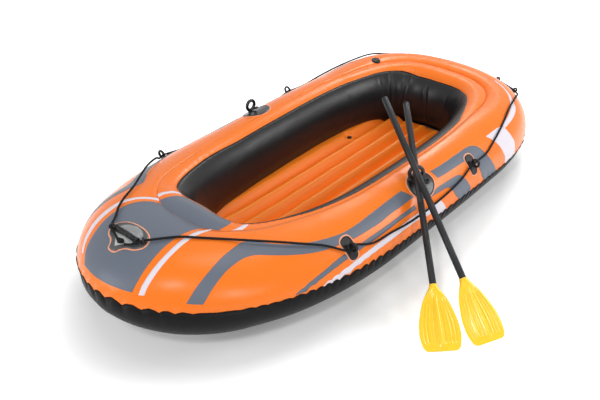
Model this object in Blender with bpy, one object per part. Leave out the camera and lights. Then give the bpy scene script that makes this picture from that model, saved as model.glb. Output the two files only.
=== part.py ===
"""Inflatable boat for two, with a pair of oars.

Metres, +Z up. The origin is on the ground under the middle of the hull.
The bow points along -Y, the stern along +Y, port is +X and starboard is -X.
"""
import math

import bmesh
import bpy
from mathutils import Matrix, Vector
from mathutils.bvhtree import BVHTree

# Hull plan: the outline seen from above is a rounded rectangle whose fullness differs at each end
HULL_LENGTH = 2.46
HULL_BEAM = 1.14
BOW_FULLNESS = 3.2
STERN_FULLNESS = 6.0
BEAM_FULLNESS = 1.9
BEAM_TAPER = 0.03

# Cockpit rim, where the deck sheet is welded to the black inner wall
COCKPIT_LENGTH = 1.652
COCKPIT_BEAM = 0.684
COCKPIT_SHIFT = 0.10
COCKPIT_BOW_FULLNESS = 3.0
COCKPIT_STERN_FULLNESS = 2.6
COCKPIT_BEAM_FULLNESS = 3.2
COCKPIT_TAPER = 0.057

# Tube sections
TUBE_HEIGHT = 0.344
BOW_RISE = 0.07
BOW_RISE_START = 0.20
BOW_RISE_POWER = 1.5
BOW_TUBE_GROWTH = 0.030
WALL_OVERHANG = 0.075
SEAM_ANGLE_BOW = math.radians(11)
SEAM_ANGLE_STERN = math.radians(-11)
CREASE_FROM_RIM_SIDE = 0.045
CREASE_FROM_RIM_BOW = 0.115
CREASE_FROM_RIM_STERN = 0.095
CREASE_DEPTH_BOW = 0.024
CREASE_DEPTH_STERN = 0.016
STATIONS = 64

# Clearances
SHEET_GAP = 0.0003
SEAT_GAP = 0.0004

# Outer seam welt
WELT_WIDTH = 0.007
WELT_THICKNESS = 0.003
WELT_PUCKER_DEPTH = 0.003

# Floor
FLOOR_HEIGHT = 0.078
FLOOR_SHEET_THICKNESS = 0.010
FLOOR_EDGE_GAP = 0.0015
RIB_COUNT = 8
RIB_PITCH = 0.066
RIB_HEIGHT = 0.030
RIB_END_MARGIN = 0.075
RIB_END_TAPER = 0.060
RIB_STEPS = 4
RIB_END_STEPS = 3
FLOOR_BEND_STEPS = 3
FLOOR_TRIM_SPARE = 0.010

# Welded patches
PATCH_THICKNESS = 0.003
PATCH_REACH = 0.045
OARLOCK_PATCH_LENGTH = 0.145
OARLOCK_PATCH_WIDTH = 0.120
OARLOCK_PATCH_X = 0.496
OARLOCK_PATCH_Y = 0.030
OARLOCK_BOSS_X = 0.4965
OARLOCK_BOSS_Y = 0.063
OARLOCK_BOSS_DIAMETER = 0.026
OARLOCK_BOSS_HEIGHT = 0.0065
OARLOCK_BOSS_BORE = 0.0105
HOLDER_PATCH_LENGTH = 0.096
HOLDER_PATCH_WIDTH = 0.054
HOLDER_PATCH_WAIST = 0.30
HOLDER_PATCH_TAPER = 0.16
BOW_PATCH_HALF = (
    (0.000, -0.082), (0.017, -0.077), (0.026, -0.056), (0.042, -0.040), (0.070, -0.030),
    (0.090, -0.008), (0.088, 0.016), (0.064, 0.040), (0.032, 0.053), (0.000, 0.057))

# Oarlocks
OARLOCK_X = 0.478
OARLOCK_Y = 0.012
OARLOCK_RING_RADIUS = 0.0290
OARLOCK_RING_THICKNESS = 0.0130
OARLOCK_RING_HEIGHT = 0.0475
OARLOCK_PIN_DIAMETER = 0.0120
OARLOCK_PIN_CLEARANCE = 0.0005
OARLOCK_COLLAR_DIAMETER = 0.020
OARLOCK_SOCKET_DIAMETER = 0.026
OARLOCK_SOCKET_HEIGHT = 0.0115
OARLOCK_SOCKET_DEPTH = 0.0052

# Rope holders along the sides and at the stern
FORE_HOLDER_PLACE = {1: (0.514, -0.462), -1: (-0.506, -0.506)}
AFT_HOLDER_Y = 0.362
AFT_HOLDER_X = 0.543
STERN_EYES = ((0.342, 1.113), (0.215, 1.184))
STERN_EYE_Z = 0.275
STERN_EYE_RADIUS = 0.0105
STERN_EYE_HEIGHT = 0.0130
STERN_EYE_FOOT = 0.024
STERN_PATCH_MARGIN = 0.030
STERN_PATCH_WIDTH = 0.055
EYE_RADIUS = 0.0165
EYE_THICKNESS = 0.0075
EYE_HEIGHT = 0.0190
EYE_FOOT_DIAMETER = 0.030
EYE_FOOT_HEIGHT = 0.004

# Bow fitting
BOW_PATCH_X = -0.018
BOW_PATCH_Y = -1.055
BOW_EYE_OFFSET = {1: (0.080, 0.015), -1: (-0.076, -0.002)}
BOW_EYE_HEADING = {1: (1, 1.4, 0), -1: (1, -0.8, 0)}
BOW_EYE_RADIUS = 0.0100
BOW_EYE_THICKNESS = 0.0050
BOW_EYE_HEIGHT = 0.0110
BOW_EYE_FOOT = 0.020
BOW_DOME_LENGTH = 0.056
BOW_DOME_WIDTH = 0.116
BOW_DOME_HEIGHT = 0.018
BOW_DOME_SINK = 0.006
BOW_DOME_CHORD = 0.0125
HANDLE_SPAN = 0.100
HANDLE_AXIS_Y = 0.004
HANDLE_REACH = 0.017
HANDLE_BEND = 0.008
HANDLE_LIFT = 0.010
HANDLE_PIN_LENGTH = 0.007
HANDLE_PIN_DIAMETER = 0.006
HANDLE_PIN_CLEARANCE = 0.0005
HANDLE_EAR_WIDTH = 0.009
HANDLE_EAR_LENGTH = 0.016
HANDLE_EAR_RISE = 0.007
HANDLE_EAR_SINK = 0.020
HANDLE_GRIP_LENGTH = 0.050
HANDLE_GRIP_DIAMETER = 0.013

# Knot that joins the two ends of the grab line on the front lobe of the bow patch
KNOT_Y = -1.092
KNOT_LENGTH = 0.032
KNOT_WIDTH = 0.024
KNOT_HEIGHT = 0.018
KNOT_SINK = 0.002

# Air valves
VALVE_FLANGE_DIAMETER = 0.050
VALVE_FLANGE_THICKNESS = 0.0025
VALVE_NECK_DIAMETER = 0.034
VALVE_NECK_DEPTH = 0.026
VALVE_WALL = 0.0025
VALVE_CLEARANCE = 0.0004
INSERT_HEAD_DIAMETER = 0.040
INSERT_HEAD_THICKNESS = 0.003
INSERT_BORE = 0.018
INSERT_FOOT_RISE = 0.004
INSERT_FLOOR = 0.002
INSERT_STEM_BORE = 0.0042
INSERT_PORTS = 4
INSERT_PORT_DIAMETER = 0.0042
INSERT_PORT_CIRCLE = 0.0115
VALVE_FLANGE_SINK = 0.008
VALVE_POCKET_SPARE = 0.002
FLAP_DIAMETER = 0.020
FLAP_THICKNESS = 0.0015
FLAP_BUTTON = 0.0012
CAP_DIAMETER = 0.042
CAP_THICKNESS = 0.004
CAP_PLUG_DEPTH = 0.008
FLOOR_VALVE_DIAMETER = 0.032
FLOOR_VALVE_THICKNESS = 0.003
FLOOR_VALVE_BORE = 0.012
FLOOR_VALVE_DEPTH = 0.022
OUTER_VALVE_TURN = 0.5917
OUTER_VALVE_FROM_CREASE = 0.028
INNER_VALVE_Y = 0.520
INNER_VALVE_Z = 0.225
FLOOR_VALVE_SEAT_Z = 0.064
FLOOR_VALVE_X = -0.231
FLOOR_VALVE_Y = 0.480

# Oars
OAR_LENGTH = 1.070
SHAFT_DIAMETER = 0.029
SHAFT_WALL = 0.0018
BLADE_LENGTH = 0.275
BLADE_WIDTH = 0.154
BLADE_THICKNESS = 0.009
BLADE_RIDGE = 0.006
BLADE_RIB = 0.0012
BLADE_SOCKET_SINK = 0.020
BLADE_SOCKET_LENGTH = 0.040
BLADE_SOCKET_WALL = 0.0025
HANDLE_TUBE_LENGTH = 0.480
OAR_JOINT_OVERLAP = 0.060
OAR_FIT_CLEARANCE = 0.0004
GRIP_CAP_THICKNESS = 0.004
GRIP_CAP_PLUG = 0.020
PORT_OAR_TIP = (0.931, -0.435)
SPARE_OAR_TIP = (1.0377, -0.2806)
SPARE_OAR_REST = (0.470, -0.006)
OAR_REST_GAP = 0.0005
BLADE_GROUND_GAP = 0.0008

# Grab line: points chosen by hand, from the bow knot to each fore holder, and on to the stern
ROPE_DIAMETER = 0.008
ROPE_ROUNDNESS = 2
ROPE_PORT_FORE = (
    (0.0172, -1.0915, 0.4190), (0.0360, -1.0763, 0.4195), (0.0532, -1.0547, 0.4261),
    (0.0626, -1.0420, 0.4286), (0.0720, -1.0290, 0.4290), (0.1278, -0.9430, 0.4208),
    (0.1788, -0.8920, 0.4131), (0.2309, -0.8402, 0.4042), (0.3029, -0.7760, 0.3960),
    (0.3705, -0.7013, 0.3792), (0.4224, -0.6328, 0.3574), (0.4714, -0.5551, 0.3266),
    (0.5236, -0.4846, 0.2855), (0.5265, -0.4629, 0.2898), (0.5236, -0.4408, 0.2900),
)
ROPE_STARBOARD_FORE = (
    (-0.0172, -1.0915, 0.4190), (-0.0518, -1.0771, 0.4176), (-0.0827, -1.0696, 0.4226),
    (-0.0954, -1.0600, 0.4244), (-0.1079, -1.0499, 0.4242), (-0.1406, -1.0132, 0.4180),
    (-0.1833, -0.9669, 0.4178), (-0.2209, -0.9173, 0.4127), (-0.2518, -0.8658, 0.4069),
    (-0.2818, -0.8201, 0.4015), (-0.3341, -0.7535, 0.3899), (-0.3895, -0.6839, 0.3749),
    (-0.4354, -0.6220, 0.3546), (-0.4706, -0.5722, 0.3323), (-0.5154, -0.5286, 0.2923),
    (-0.5181, -0.5069, 0.2965), (-0.5154, -0.4848, 0.2965),
)
ROPE_HALF_AFT = (
    (0.5437, -0.3576, 0.2589), (0.5521, -0.2500, 0.2507), (0.5607, -0.1300, 0.2396),
    (0.5641, -0.0013, 0.2372), (0.5644, 0.1256, 0.2409), (0.5607, 0.2431, 0.2504),
    (0.5522, 0.3400, 0.2752), (0.5549, 0.3620, 0.2775), (0.5522, 0.3840, 0.2754),
    (0.5474, 0.4801, 0.2729), (0.5275, 0.5891, 0.2942), (0.5016, 0.7000, 0.3142),
    (0.4652, 0.8203, 0.3318), (0.4384, 0.9216, 0.3328), (0.4034, 1.0331, 0.3090),
    (0.3620, 1.1080, 0.2805), (0.3471, 1.1176, 0.2839), (0.3304, 1.1245, 0.2851),
    (0.2851, 1.1482, 0.2832), (0.2330, 1.1736, 0.2819), (0.2163, 1.1801, 0.2844),
    (0.1985, 1.1835, 0.2845), (0.1097, 1.1984, 0.2785),
)
ROPE_STERN_POINT = (0.0000, 1.2067, 0.2794)

FULL_TURN = 2 * math.pi
QUARTER_TURN = math.pi / 2
ROUND_SIDES = 16
BLADE_SIDES = 24
BLADE_ROWS = 10

parts = None
cutters = None


def clear_scene():
    """Empty the file of its objects."""
    for old in list(bpy.data.objects):
        bpy.data.objects.remove(old, do_unlink=True)


def material(name, colour, roughness, metallic=0.0):
    """A plain Principled finish."""
    finish = bpy.data.materials.new(name)
    finish.use_nodes = True
    shader = finish.node_tree.nodes["Principled BSDF"]
    shader.inputs["Base Color"].default_value = (*colour, 1.0)
    shader.inputs["Roughness"].default_value = roughness
    shader.inputs["Metallic"].default_value = metallic
    finish.diffuse_color = (*colour, 1.0)
    return finish


def add_part(name, mesh, finish, smooth=True):
    """A named sub-part in the boat's collection."""
    part = bpy.data.objects.new(name, mesh)
    parts.objects.link(part)
    mesh.materials.clear()
    mesh.materials.append(finish)
    if smooth:
        mesh.shade_smooth()
        mesh.set_sharp_from_angle(angle=math.radians(40))
    return part


def add_cutter(name, mesh):
    """A tool for boolean cuts, left out of the model."""
    tool = bpy.data.objects.new(name, mesh)
    cutters.objects.link(tool)
    tool.hide_render = True
    tool.display_type = "WIRE"
    return tool


def boolean(part, tool, operation="DIFFERENCE", crossing=False):
    """Cut, join or trim a part with a tool, which may cross itself."""
    step = part.modifiers.new(tool.name, "BOOLEAN")
    step.operation = operation
    step.solver = "EXACT"
    step.use_self = crossing
    step.object = tool


def mesh_from(bm, name):
    """Finish a bmesh: outward normals, then a mesh of that name."""
    bmesh.ops.recalc_face_normals(bm, faces=bm.faces[:])
    mesh = bpy.data.meshes.new(name)
    bm.to_mesh(mesh)
    bm.free()
    return mesh


def cylinder_mesh(name, diameter, bottom, top, sides=ROUND_SIDES, top_diameter=None):
    """An upright cylinder or cone between two heights."""
    bm = bmesh.new()
    upper = diameter if top_diameter is None else top_diameter
    place = Matrix.Translation((0, 0, (bottom + top) / 2))
    bmesh.ops.create_cone(
        bm, cap_ends=True, segments=sides, radius1=diameter / 2, radius2=upper / 2,
        depth=top - bottom, matrix=place)
    return mesh_from(bm, name)


def turned_mesh(name, profile, sides=ROUND_SIDES):
    """A solid of revolution about Z from a closed profile of (radius, height) points.

    Radii of zero stay out of the profile, so that a closed loop makes a ring or a tube.
    """
    bm = bmesh.new()
    rings = []
    for step in range(sides):
        angle = FULL_TURN * step / sides
        rings.append([
            bm.verts.new((radius * math.cos(angle), radius * math.sin(angle), height))
            for radius, height in profile])
    join_rings(bm, rings)
    return mesh_from(bm, name)


def join_rings(bm, rings, closed=True):
    """Skin a run of closed point rings with triangles, each quad split on its short diagonal."""
    quads = []
    count = len(rings)
    for index in range(count if closed else count - 1):
        here = rings[index]
        there = rings[(index + 1) % count]
        size = len(here)
        for k in range(size):
            after = (k + 1) % size
            quads.append(bm.faces.new((here[k], here[after], there[after], there[k])))
    bmesh.ops.triangulate(bm, faces=quads, quad_method="SHORT_EDGE")


def torus_mesh(name, radius, thickness, sides=16, section_sides=8):
    """A ring about the X axis, so that it stands upright."""
    profile = []
    for k in range(section_sides):
        angle = FULL_TURN * k / section_sides
        profile.append((radius + thickness / 2 * math.cos(angle), thickness / 2 * math.sin(angle)))
    mesh = turned_mesh(name, profile, sides)
    mesh.transform(Matrix.Rotation(QUARTER_TURN, 4, "Y"))
    return mesh


def outline_mesh(name, outline, half_thickness):
    """A flat plate from a closed 2D curve, with its caps welded on."""
    curve = bpy.data.curves.new(name, "CURVE")
    curve.dimensions = "2D"
    curve.fill_mode = "BOTH"
    curve.extrude = half_thickness
    spline = curve.splines.new("POLY")
    spline.points.add(len(outline) - 1)
    for point, (x, y) in zip(spline.points, outline):
        point.co = (x, y, 0, 1)
    spline.use_cyclic_u = True
    return welded_mesh(curve, name)


def tube_mesh(name, points, diameter, resolution=2):
    """A round bar along a run of points, with filled ends."""
    curve = bpy.data.curves.new(name, "CURVE")
    curve.dimensions = "3D"
    curve.bevel_depth = diameter / 2
    curve.bevel_resolution = round(resolution)
    curve.use_fill_caps = True
    spline = curve.splines.new("POLY")
    spline.points.add(len(points) - 1)
    for point, place in zip(spline.points, points):
        point.co = (*place, 1)
    return welded_mesh(curve, name)


def welded_mesh(curve, name):
    """Turn a curve into a mesh whose loose caps are welded to its walls."""
    holder = bpy.data.objects.new(name, curve)
    bpy.context.scene.collection.objects.link(holder)
    graph = bpy.context.evaluated_depsgraph_get()
    mesh = bpy.data.meshes.new_from_object(holder.evaluated_get(graph))
    bpy.data.objects.remove(holder, do_unlink=True)
    bm = bmesh.new()
    bm.from_mesh(mesh)
    bmesh.ops.remove_doubles(bm, verts=bm.verts[:], dist=0.00001)
    bpy.data.meshes.remove(mesh)
    return mesh_from(bm, name)


def smooth_step(value):
    """0 below zero, 1 above one, and an even S between."""
    value = min(max(value, 0.0), 1.0)
    return value * value * (3 - 2 * value)


class PlanCurve:
    """A closed outline seen from above, as a level set of fullness powers."""

    def __init__(self, length, beam, shift, bow, stern, side, taper):
        self.half_length = length / 2
        self.half_beam = beam / 2
        self.shift = shift
        self.bow = bow
        self.stern = stern
        self.side = side
        self.taper = taper

    def level(self, x, y):
        """Below 0 inside the outline and above 0 outside it."""
        along = (y - self.shift) / self.half_length
        fullness = self.bow if along < 0 else self.stern
        beam = self.half_beam * (1 + self.taper * max(min(along, 1), -1))
        return (abs(x) / beam) ** self.side + abs(along) ** fullness - 1

    def reach(self, x, y, step_x, step_y, limit=1.6):
        """How far it is from a point to the outline in a direction."""
        inside = self.level(x, y) < 0
        near = 0.0
        far = limit
        for _ in range(48):
            middle = (near + far) / 2
            if (self.level(x + step_x * middle, y + step_y * middle) < 0) == inside:
                near = middle
            else:
                far = middle
        return near


OUTER_PLAN = PlanCurve(
    HULL_LENGTH, HULL_BEAM, 0.0, BOW_FULLNESS, STERN_FULLNESS, BEAM_FULLNESS, BEAM_TAPER)
RIM_PLAN = PlanCurve(
    COCKPIT_LENGTH, COCKPIT_BEAM, COCKPIT_SHIFT, COCKPIT_BOW_FULLNESS, COCKPIT_STERN_FULLNESS,
    COCKPIT_BEAM_FULLNESS, COCKPIT_TAPER)
SPINE_PLAN = PlanCurve(
    (HULL_LENGTH + COCKPIT_LENGTH) / 2, (HULL_BEAM + COCKPIT_BEAM) / 2, COCKPIT_SHIFT / 2,
    (BOW_FULLNESS + COCKPIT_BOW_FULLNESS) / 2, (STERN_FULLNESS + COCKPIT_STERN_FULLNESS) / 2,
    (BEAM_FULLNESS + COCKPIT_BEAM_FULLNESS) / 2, (BEAM_TAPER + COCKPIT_TAPER) / 2)
SPINE_SOFTENING = 5
TUBE_REACH = HULL_BEAM / 2


def bow_share(y):
    """0 back of the place where the bow starts to rise, and 1 at its tip."""
    share = (-y - BOW_RISE_START) / (HULL_LENGTH / 2 - BOW_RISE_START)
    return max(share, 0.0) ** BOW_RISE_POWER


def bow_rise(y):
    """How far the tubes are lifted off the ground."""
    return BOW_RISE * bow_share(y)


class Station:
    """One cross-section of the hull, in the upright plane that crosses the tubes squarely.

    The outer chamber is a lobe from the outer edge to the crease, and the inner chamber
    a second lobe from the crease to the innermost bulge of the black wall.
    """

    def __init__(self, x, y, inward_x, inward_y):
        out = OUTER_PLAN.reach(x, y, -inward_x, -inward_y, TUBE_REACH)
        rim = RIM_PLAN.reach(x, y, inward_x, inward_y, TUBE_REACH)
        self.inward = (inward_x, inward_y)
        self.edge = (x - inward_x * out, y - inward_y * out)
        deck = out + rim
        along = abs(self.edge[1]) / (HULL_LENGTH / 2)
        at_bow = self.edge[1] < 0
        end = smooth_step((along - 0.45) / 0.5)
        crease = CREASE_FROM_RIM_BOW if at_bow else CREASE_FROM_RIM_STERN
        depth = end * (CREASE_DEPTH_BOW if at_bow else CREASE_DEPTH_STERN)
        from_rim = CREASE_FROM_RIM_SIDE + (crease - CREASE_FROM_RIM_SIDE) * end
        self.half_height = (TUBE_HEIGHT + BOW_TUBE_GROWTH * bow_share(self.edge[1])) / 2
        self.crease = deck - from_rim
        self.width = deck + WALL_OVERHANG
        overlap = math.sqrt(1 - (1 - depth / self.half_height) ** 2)
        self.outer_radius = self.crease / (1 + overlap)
        self.inner_radius = (self.width - self.crease) / (1 + overlap)
        self.inner_centre = self.width - self.inner_radius
        self.crease_angle = QUARTER_TURN + math.asin(overlap)
        self.rim_angle = math.acos((deck - self.inner_centre) / self.inner_radius)
        share = (1 + self.edge[1] / (HULL_LENGTH / 2)) / 2
        self.seam_angle = SEAM_ANGLE_BOW + (SEAM_ANGLE_STERN - SEAM_ANGLE_BOW) * share

    def flat(self, lobe, angle, grow=0.0):
        """A point of a lobe as (distance inward, height), pushed out by grow."""
        radius = self.outer_radius if lobe == "outer" else self.inner_radius
        across = math.cos(angle) * radius
        up = math.sin(angle) * self.half_height
        slope_across = math.cos(angle) / radius
        slope_up = math.sin(angle) / self.half_height
        size = math.hypot(slope_across, slope_up)
        across += grow * slope_across / size
        up += grow * slope_up / size
        height = self.half_height + up
        if lobe == "outer":
            return self.outer_radius - across, height
        return self.inner_centre + across, height

    def place(self, distance, height):
        """A section point in world coordinates, raised toward the bow."""
        x = self.edge[0] + self.inward[0] * distance
        y = self.edge[1] + self.inward[1] * distance
        return Vector((x, y, height + bow_rise(y)))

    def wall_at(self, height, grow=0.0, widen=0.0):
        """Where the inner wall's lower half reaches a height above the bottom of the tubes,
        or a point widen further out."""
        angle = math.asin(height / self.half_height - 1)
        distance, _ = self.flat("inner", angle, grow)
        place = self.place(distance - widen, 0.0)
        return place.x, place.y

    def speed(self, lobe, angle):
        """How far a lobe's outline runs for each radian."""
        radius = self.outer_radius if lobe == "outer" else self.inner_radius
        return math.hypot(radius * math.sin(angle), self.half_height * math.cos(angle))

    def sector(self, lobe, start, end, steps):
        """The closed outline of one sheet's share of the section, meeting the others at the
        bulkhead, with half a sheet gap taken off each cut face."""
        half_gap = SHEET_GAP / 2
        first = start + half_gap / self.speed(lobe, start)
        last = end - half_gap / self.speed(lobe, end)
        points = [
            self.flat(lobe, first + (last - first) * k / steps)
            for k in range(steps + 1)]
        core = (self.crease, self.half_height)
        to_start = unit(points[0][0] - core[0], points[0][1] - core[1])
        to_end = unit(points[-1][0] - core[0], points[-1][1] - core[1])
        sine = abs(to_start[0] * to_end[1] - to_start[1] * to_end[0])
        shift = half_gap / sine
        points.append((
            core[0] + shift * (to_start[0] + to_end[0]),
            core[1] + shift * (to_start[1] + to_end[1])))
        return [self.place(*point) for point in points]


def unit(x, y):
    """A direction of length one."""
    size = math.hypot(x, y)
    return x / size, y / size


def make_stations():
    """Sections at equal steps along a line that runs round the middle of the tubes."""
    dense = []
    samples = 1440
    for k in range(samples):
        angle = FULL_TURN * k / samples
        x = math.sin(angle)
        y = -math.cos(angle)
        reach = SPINE_PLAN.reach(0.0, SPINE_PLAN.shift, x, y)
        dense.append((x * reach, SPINE_PLAN.shift + y * reach))
    lengths = [0.0]
    for k in range(samples):
        a = dense[k]
        b = dense[(k + 1) % samples]
        lengths.append(lengths[-1] + math.hypot(b[0] - a[0], b[1] - a[1]))
    picks = []
    k = 0
    for index in range(STATIONS):
        target = lengths[-1] * index / STATIONS
        while lengths[k + 1] < target:
            k += 1
        share = (target - lengths[k]) / (lengths[k + 1] - lengths[k])
        a = dense[k]
        b = dense[(k + 1) % samples]
        picks.append((a[0] + (b[0] - a[0]) * share, a[1] + (b[1] - a[1]) * share))
    directions = []
    for index in range(STATIONS):
        before = picks[index - 1]
        after = picks[(index + 1) % STATIONS]
        directions.append(unit(-(after[1] - before[1]), after[0] - before[0]))
    for _ in range(SPINE_SOFTENING):
        directions = [
            unit(directions[i - 1][0] + directions[i][0] + directions[(i + 1) % STATIONS][0],
                 directions[i - 1][1] + directions[i][1] + directions[(i + 1) % STATIONS][1])
            for i in range(STATIONS)]
    return [Station(x, y, dx, dy) for (x, y), (dx, dy) in zip(picks, directions)]


def ring_loft(name, outlines):
    """A closed hoop through one outline per station."""
    bm = bmesh.new()
    rings = [[bm.verts.new(point) for point in outline] for outline in outlines]
    join_rings(bm, rings)
    return mesh_from(bm, name)


OUTER_STEPS = 8
DECK_STEPS = 3
WALL_STEPS = 8


def hull_skin(name, stations, grow):
    """A tool in the full shape of the tubes, pushed out by grow."""
    outlines = []
    for station in stations:
        points = []
        crease = station.crease_angle
        seam = station.seam_angle
        rim = station.rim_angle
        for k in range(OUTER_STEPS):
            angle = -crease + (seam + crease) * k / OUTER_STEPS
            points.append(station.flat("outer", angle, grow if k else 0.0))
        for k in range(OUTER_STEPS):
            points.append(station.flat("outer", seam + (crease - seam) * k / OUTER_STEPS, grow))
        for k in range(DECK_STEPS):
            angle = crease + (rim - crease) * k / DECK_STEPS
            inner = station.flat("inner", angle, grow)
            if k == 0:
                inner = (inner[0], station.flat("inner", angle)[1] + grow)
                inner = (station.crease, inner[1])
            points.append(inner)
        for k in range(WALL_STEPS):
            points.append(station.flat("inner", rim - (rim + crease) * k / WALL_STEPS, grow))
        outlines.append([station.place(*point) for point in points])
    return add_cutter(name, ring_loft(name, outlines))


def build_chambers(stations, finishes):
    """The four sheets of the two air chambers, each as its share of the inflated tubes."""
    sheets = (
        ("outer_chamber_top", "outer", OUTER_STEPS, finishes["orange"],
         lambda s: (s.seam_angle, s.crease_angle)),
        ("outer_chamber_bottom", "outer", OUTER_STEPS, finishes["black"],
         lambda s: (-s.crease_angle, s.seam_angle)),
        ("inner_chamber_deck", "inner", DECK_STEPS, finishes["orange"],
         lambda s: (s.rim_angle, s.crease_angle)),
        ("inner_chamber_wall", "inner", WALL_STEPS, finishes["black"],
         lambda s: (-s.crease_angle, s.rim_angle)),
    )
    built = {}
    for name, lobe, steps, finish, span in sheets:
        outlines = [station.sector(lobe, *span(station), steps) for station in stations]
        built[name] = add_part(name, ring_loft(name, outlines), finish)
    return built


def build_welt(stations, finish):
    """The puckered flange round the outer seam, following the tube's own facets."""
    per_station = 2
    inner = []
    for station in stations:
        base = station.flat("outer", station.seam_angle, SEAT_GAP)
        inner.append((station, base))
    outlines = []
    for index in range(STATIONS):
        station, base = inner[index]
        after, base_after = inner[(index + 1) % STATIONS]
        near = station.place(*base)
        far = after.place(*base_after)
        for k in range(per_station):
            share = k / per_station
            place = near.lerp(far, share)
            away = Vector((-station.inward[0], -station.inward[1], 0)).lerp(
                Vector((-after.inward[0], -after.inward[1], 0)), share).normalized()
            pucker = 1.0 if k == 0 else -0.5
            reach = WELT_WIDTH + WELT_PUCKER_DEPTH * pucker
            half = Vector((0, 0, WELT_THICKNESS / 2))
            wave = Vector((0, 0, WELT_PUCKER_DEPTH / 2 * pucker))
            tip = place + away * reach + wave
            outlines.append((place - half, tip - half, tip + half, place + half))
    return add_part("outer_seam_welt", ring_loft("outer_seam_welt", outlines), finish)


def rising_grid(name, columns, rows, low, top):
    """A closed slab over a grid of X and Y lines, its underside flat at low and its upper
    side at top(x, y), all lifted with the bow."""
    bm = bmesh.new()
    crown = [[bm.verts.new((x, y, top(x, y) + bow_rise(y))) for x in columns] for y in rows]
    keel = [
        [bm.verts.new((x, y, low + bow_rise(y))) for x in (columns[0], columns[-1])] for y in rows]
    for above, above_next, under, under_next in zip(crown, crown[1:], keel, keel[1:]):
        for k in range(len(columns) - 1):
            bm.faces.new((above[k], above[k + 1], above_next[k + 1], above_next[k]))
        bm.faces.new((under[0], under[1], under_next[1], under_next[0]))
        for end in (0, -1):
            bm.faces.new((under[end], above[end], above_next[end], under_next[end]))
    for row in (0, -1):
        bm.faces.new((keel[row][0], keel[row][1], *reversed(crown[row])))
    bmesh.ops.triangulate(bm, faces=bm.faces[:])
    return mesh_from(bm, name)


def even_steps(start, end, count):
    """Values at equal steps, both ends included."""
    return [start + (end - start) * k / count for k in range(count + 1)]


def build_floor(stations, finishes, skins):
    """The ribbed air floor and the flat bottom sheet under it."""
    low = FLOOR_SHEET_THICKNESS + SHEET_GAP
    wall = [station.wall_at(FLOOR_HEIGHT) for station in stations]
    edge = [station.wall_at(FLOOR_SHEET_THICKNESS, FLOOR_EDGE_GAP) for station in stations]
    rib_bow = min(y for _, y in wall) + RIB_END_MARGIN
    rib_stern = max(y for _, y in wall) - RIB_END_MARGIN
    half_width = max(x for x, _ in edge) + FLOOR_TRIM_SPARE * 2
    rows = [min(y for _, y in edge) - FLOOR_TRIM_SPARE * 2]
    rows += even_steps(rib_bow, rib_bow + RIB_END_TAPER, RIB_END_STEPS)
    rows += even_steps(rows[-1], -BOW_RISE_START, FLOOR_BEND_STEPS)[1:]
    rows += even_steps(rib_stern - RIB_END_TAPER, rib_stern, RIB_END_STEPS)
    rows.append(max(y for _, y in edge) + FLOOR_TRIM_SPARE * 2)
    sheet = rising_grid(
        "floor_bottom_sheet", (-half_width, half_width), rows, 0.0,
        lambda x, y: FLOOR_SHEET_THICKNESS)
    bottom = add_part("floor_bottom_sheet", sheet, finishes["black"], smooth=False)
    trim = add_cutter("floor_sheet_trim", outline_mesh("floor_sheet_trim", edge, FLOOR_HEIGHT * 4))
    boolean(bottom, trim, "INTERSECT")

    rib_side = RIB_COUNT / 2 * RIB_PITCH
    columns = [-half_width]
    columns += even_steps(-rib_side, rib_side, RIB_COUNT * RIB_STEPS)
    columns.append(half_width)
    valley = FLOOR_HEIGHT - RIB_HEIGHT

    def rib_top(x, y):
        from_end = min(y - rib_bow, rib_stern - y) / RIB_END_TAPER
        from_end = min(max(from_end, 0.0), 1.0)
        swell = math.sqrt(1 - (1 - from_end) ** 2)
        phase = abs((x / RIB_PITCH + RIB_COUNT / 2) % 1.0 - 0.5) * 2
        crown = math.sqrt(max(1 - phase ** 2, 0.0)) if abs(x) < rib_side else 0.0
        return valley + RIB_HEIGHT * crown * swell

    panel = add_part(
        "floor_panel", rising_grid("floor_panel", columns, rows, low, rib_top), finishes["floor"])
    outline = [station.wall_at(low, widen=FLOOR_TRIM_SPARE) for station in stations]
    trim = add_cutter("floor_trim", outline_mesh("floor_trim", outline, FLOOR_HEIGHT * 4))
    boolean(panel, trim, "INTERSECT")
    boolean(panel, skins.floor, crossing=True)
    return panel, bottom


class Seat:
    """A place on the inflated skin: where it is and which way is out.

    A seat on the boat's centreline stays square to it.
    """

    def __init__(self, tree, origin, direction, heading):
        hit, normal, _, _ = tree.ray_cast(Vector(origin), Vector(direction))
        spread = 0.02
        side = Vector(heading).normalized()
        other = Vector(direction).cross(side).normalized()
        total = normal.copy()
        for offset in (side, -side, other, -other):
            _, near, _, _ = tree.ray_cast(Vector(origin) + offset * spread, Vector(direction))
            if near is not None:
                total += near
        if origin[0] == 0 and direction[0] == 0:
            total.x = 0
        self.point = hit
        self.normal = total.normalized()
        along = (side - self.normal * side.dot(self.normal)).normalized()
        across = self.normal.cross(along)
        frame = Matrix((along, across, self.normal)).transposed().to_4x4()
        self.matrix = Matrix.Translation(hit) @ frame

    def upright(self):
        """A frame at the seat that keeps world Z up, with X along the heading."""
        along = self.matrix.to_3x3().col[0].copy()
        along.z = 0
        along.normalize()
        up = Vector((0, 0, 1))
        frame = Matrix((along, up.cross(along), up)).transposed().to_4x4()
        return Matrix.Translation(self.point) @ frame


class Skins:
    """Grown copies of the tubes that seat the fittings: one under each layer."""

    def __init__(self, stations):
        self.hull = hull_skin("skin_under_patches", stations, SEAT_GAP)
        self.patch_top = hull_skin("skin_over_patches", stations, SEAT_GAP + PATCH_THICKNESS)
        self.over = hull_skin("skin_on_patches", stations, SEAT_GAP * 2 + PATCH_THICKNESS)
        self.floor = hull_skin("skin_round_floor", stations, FLOOR_EDGE_GAP)
        bm = bmesh.new()
        bm.from_mesh(self.hull.data)
        self.tree = BVHTree.FromBMesh(bm)
        bm.free()


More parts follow.
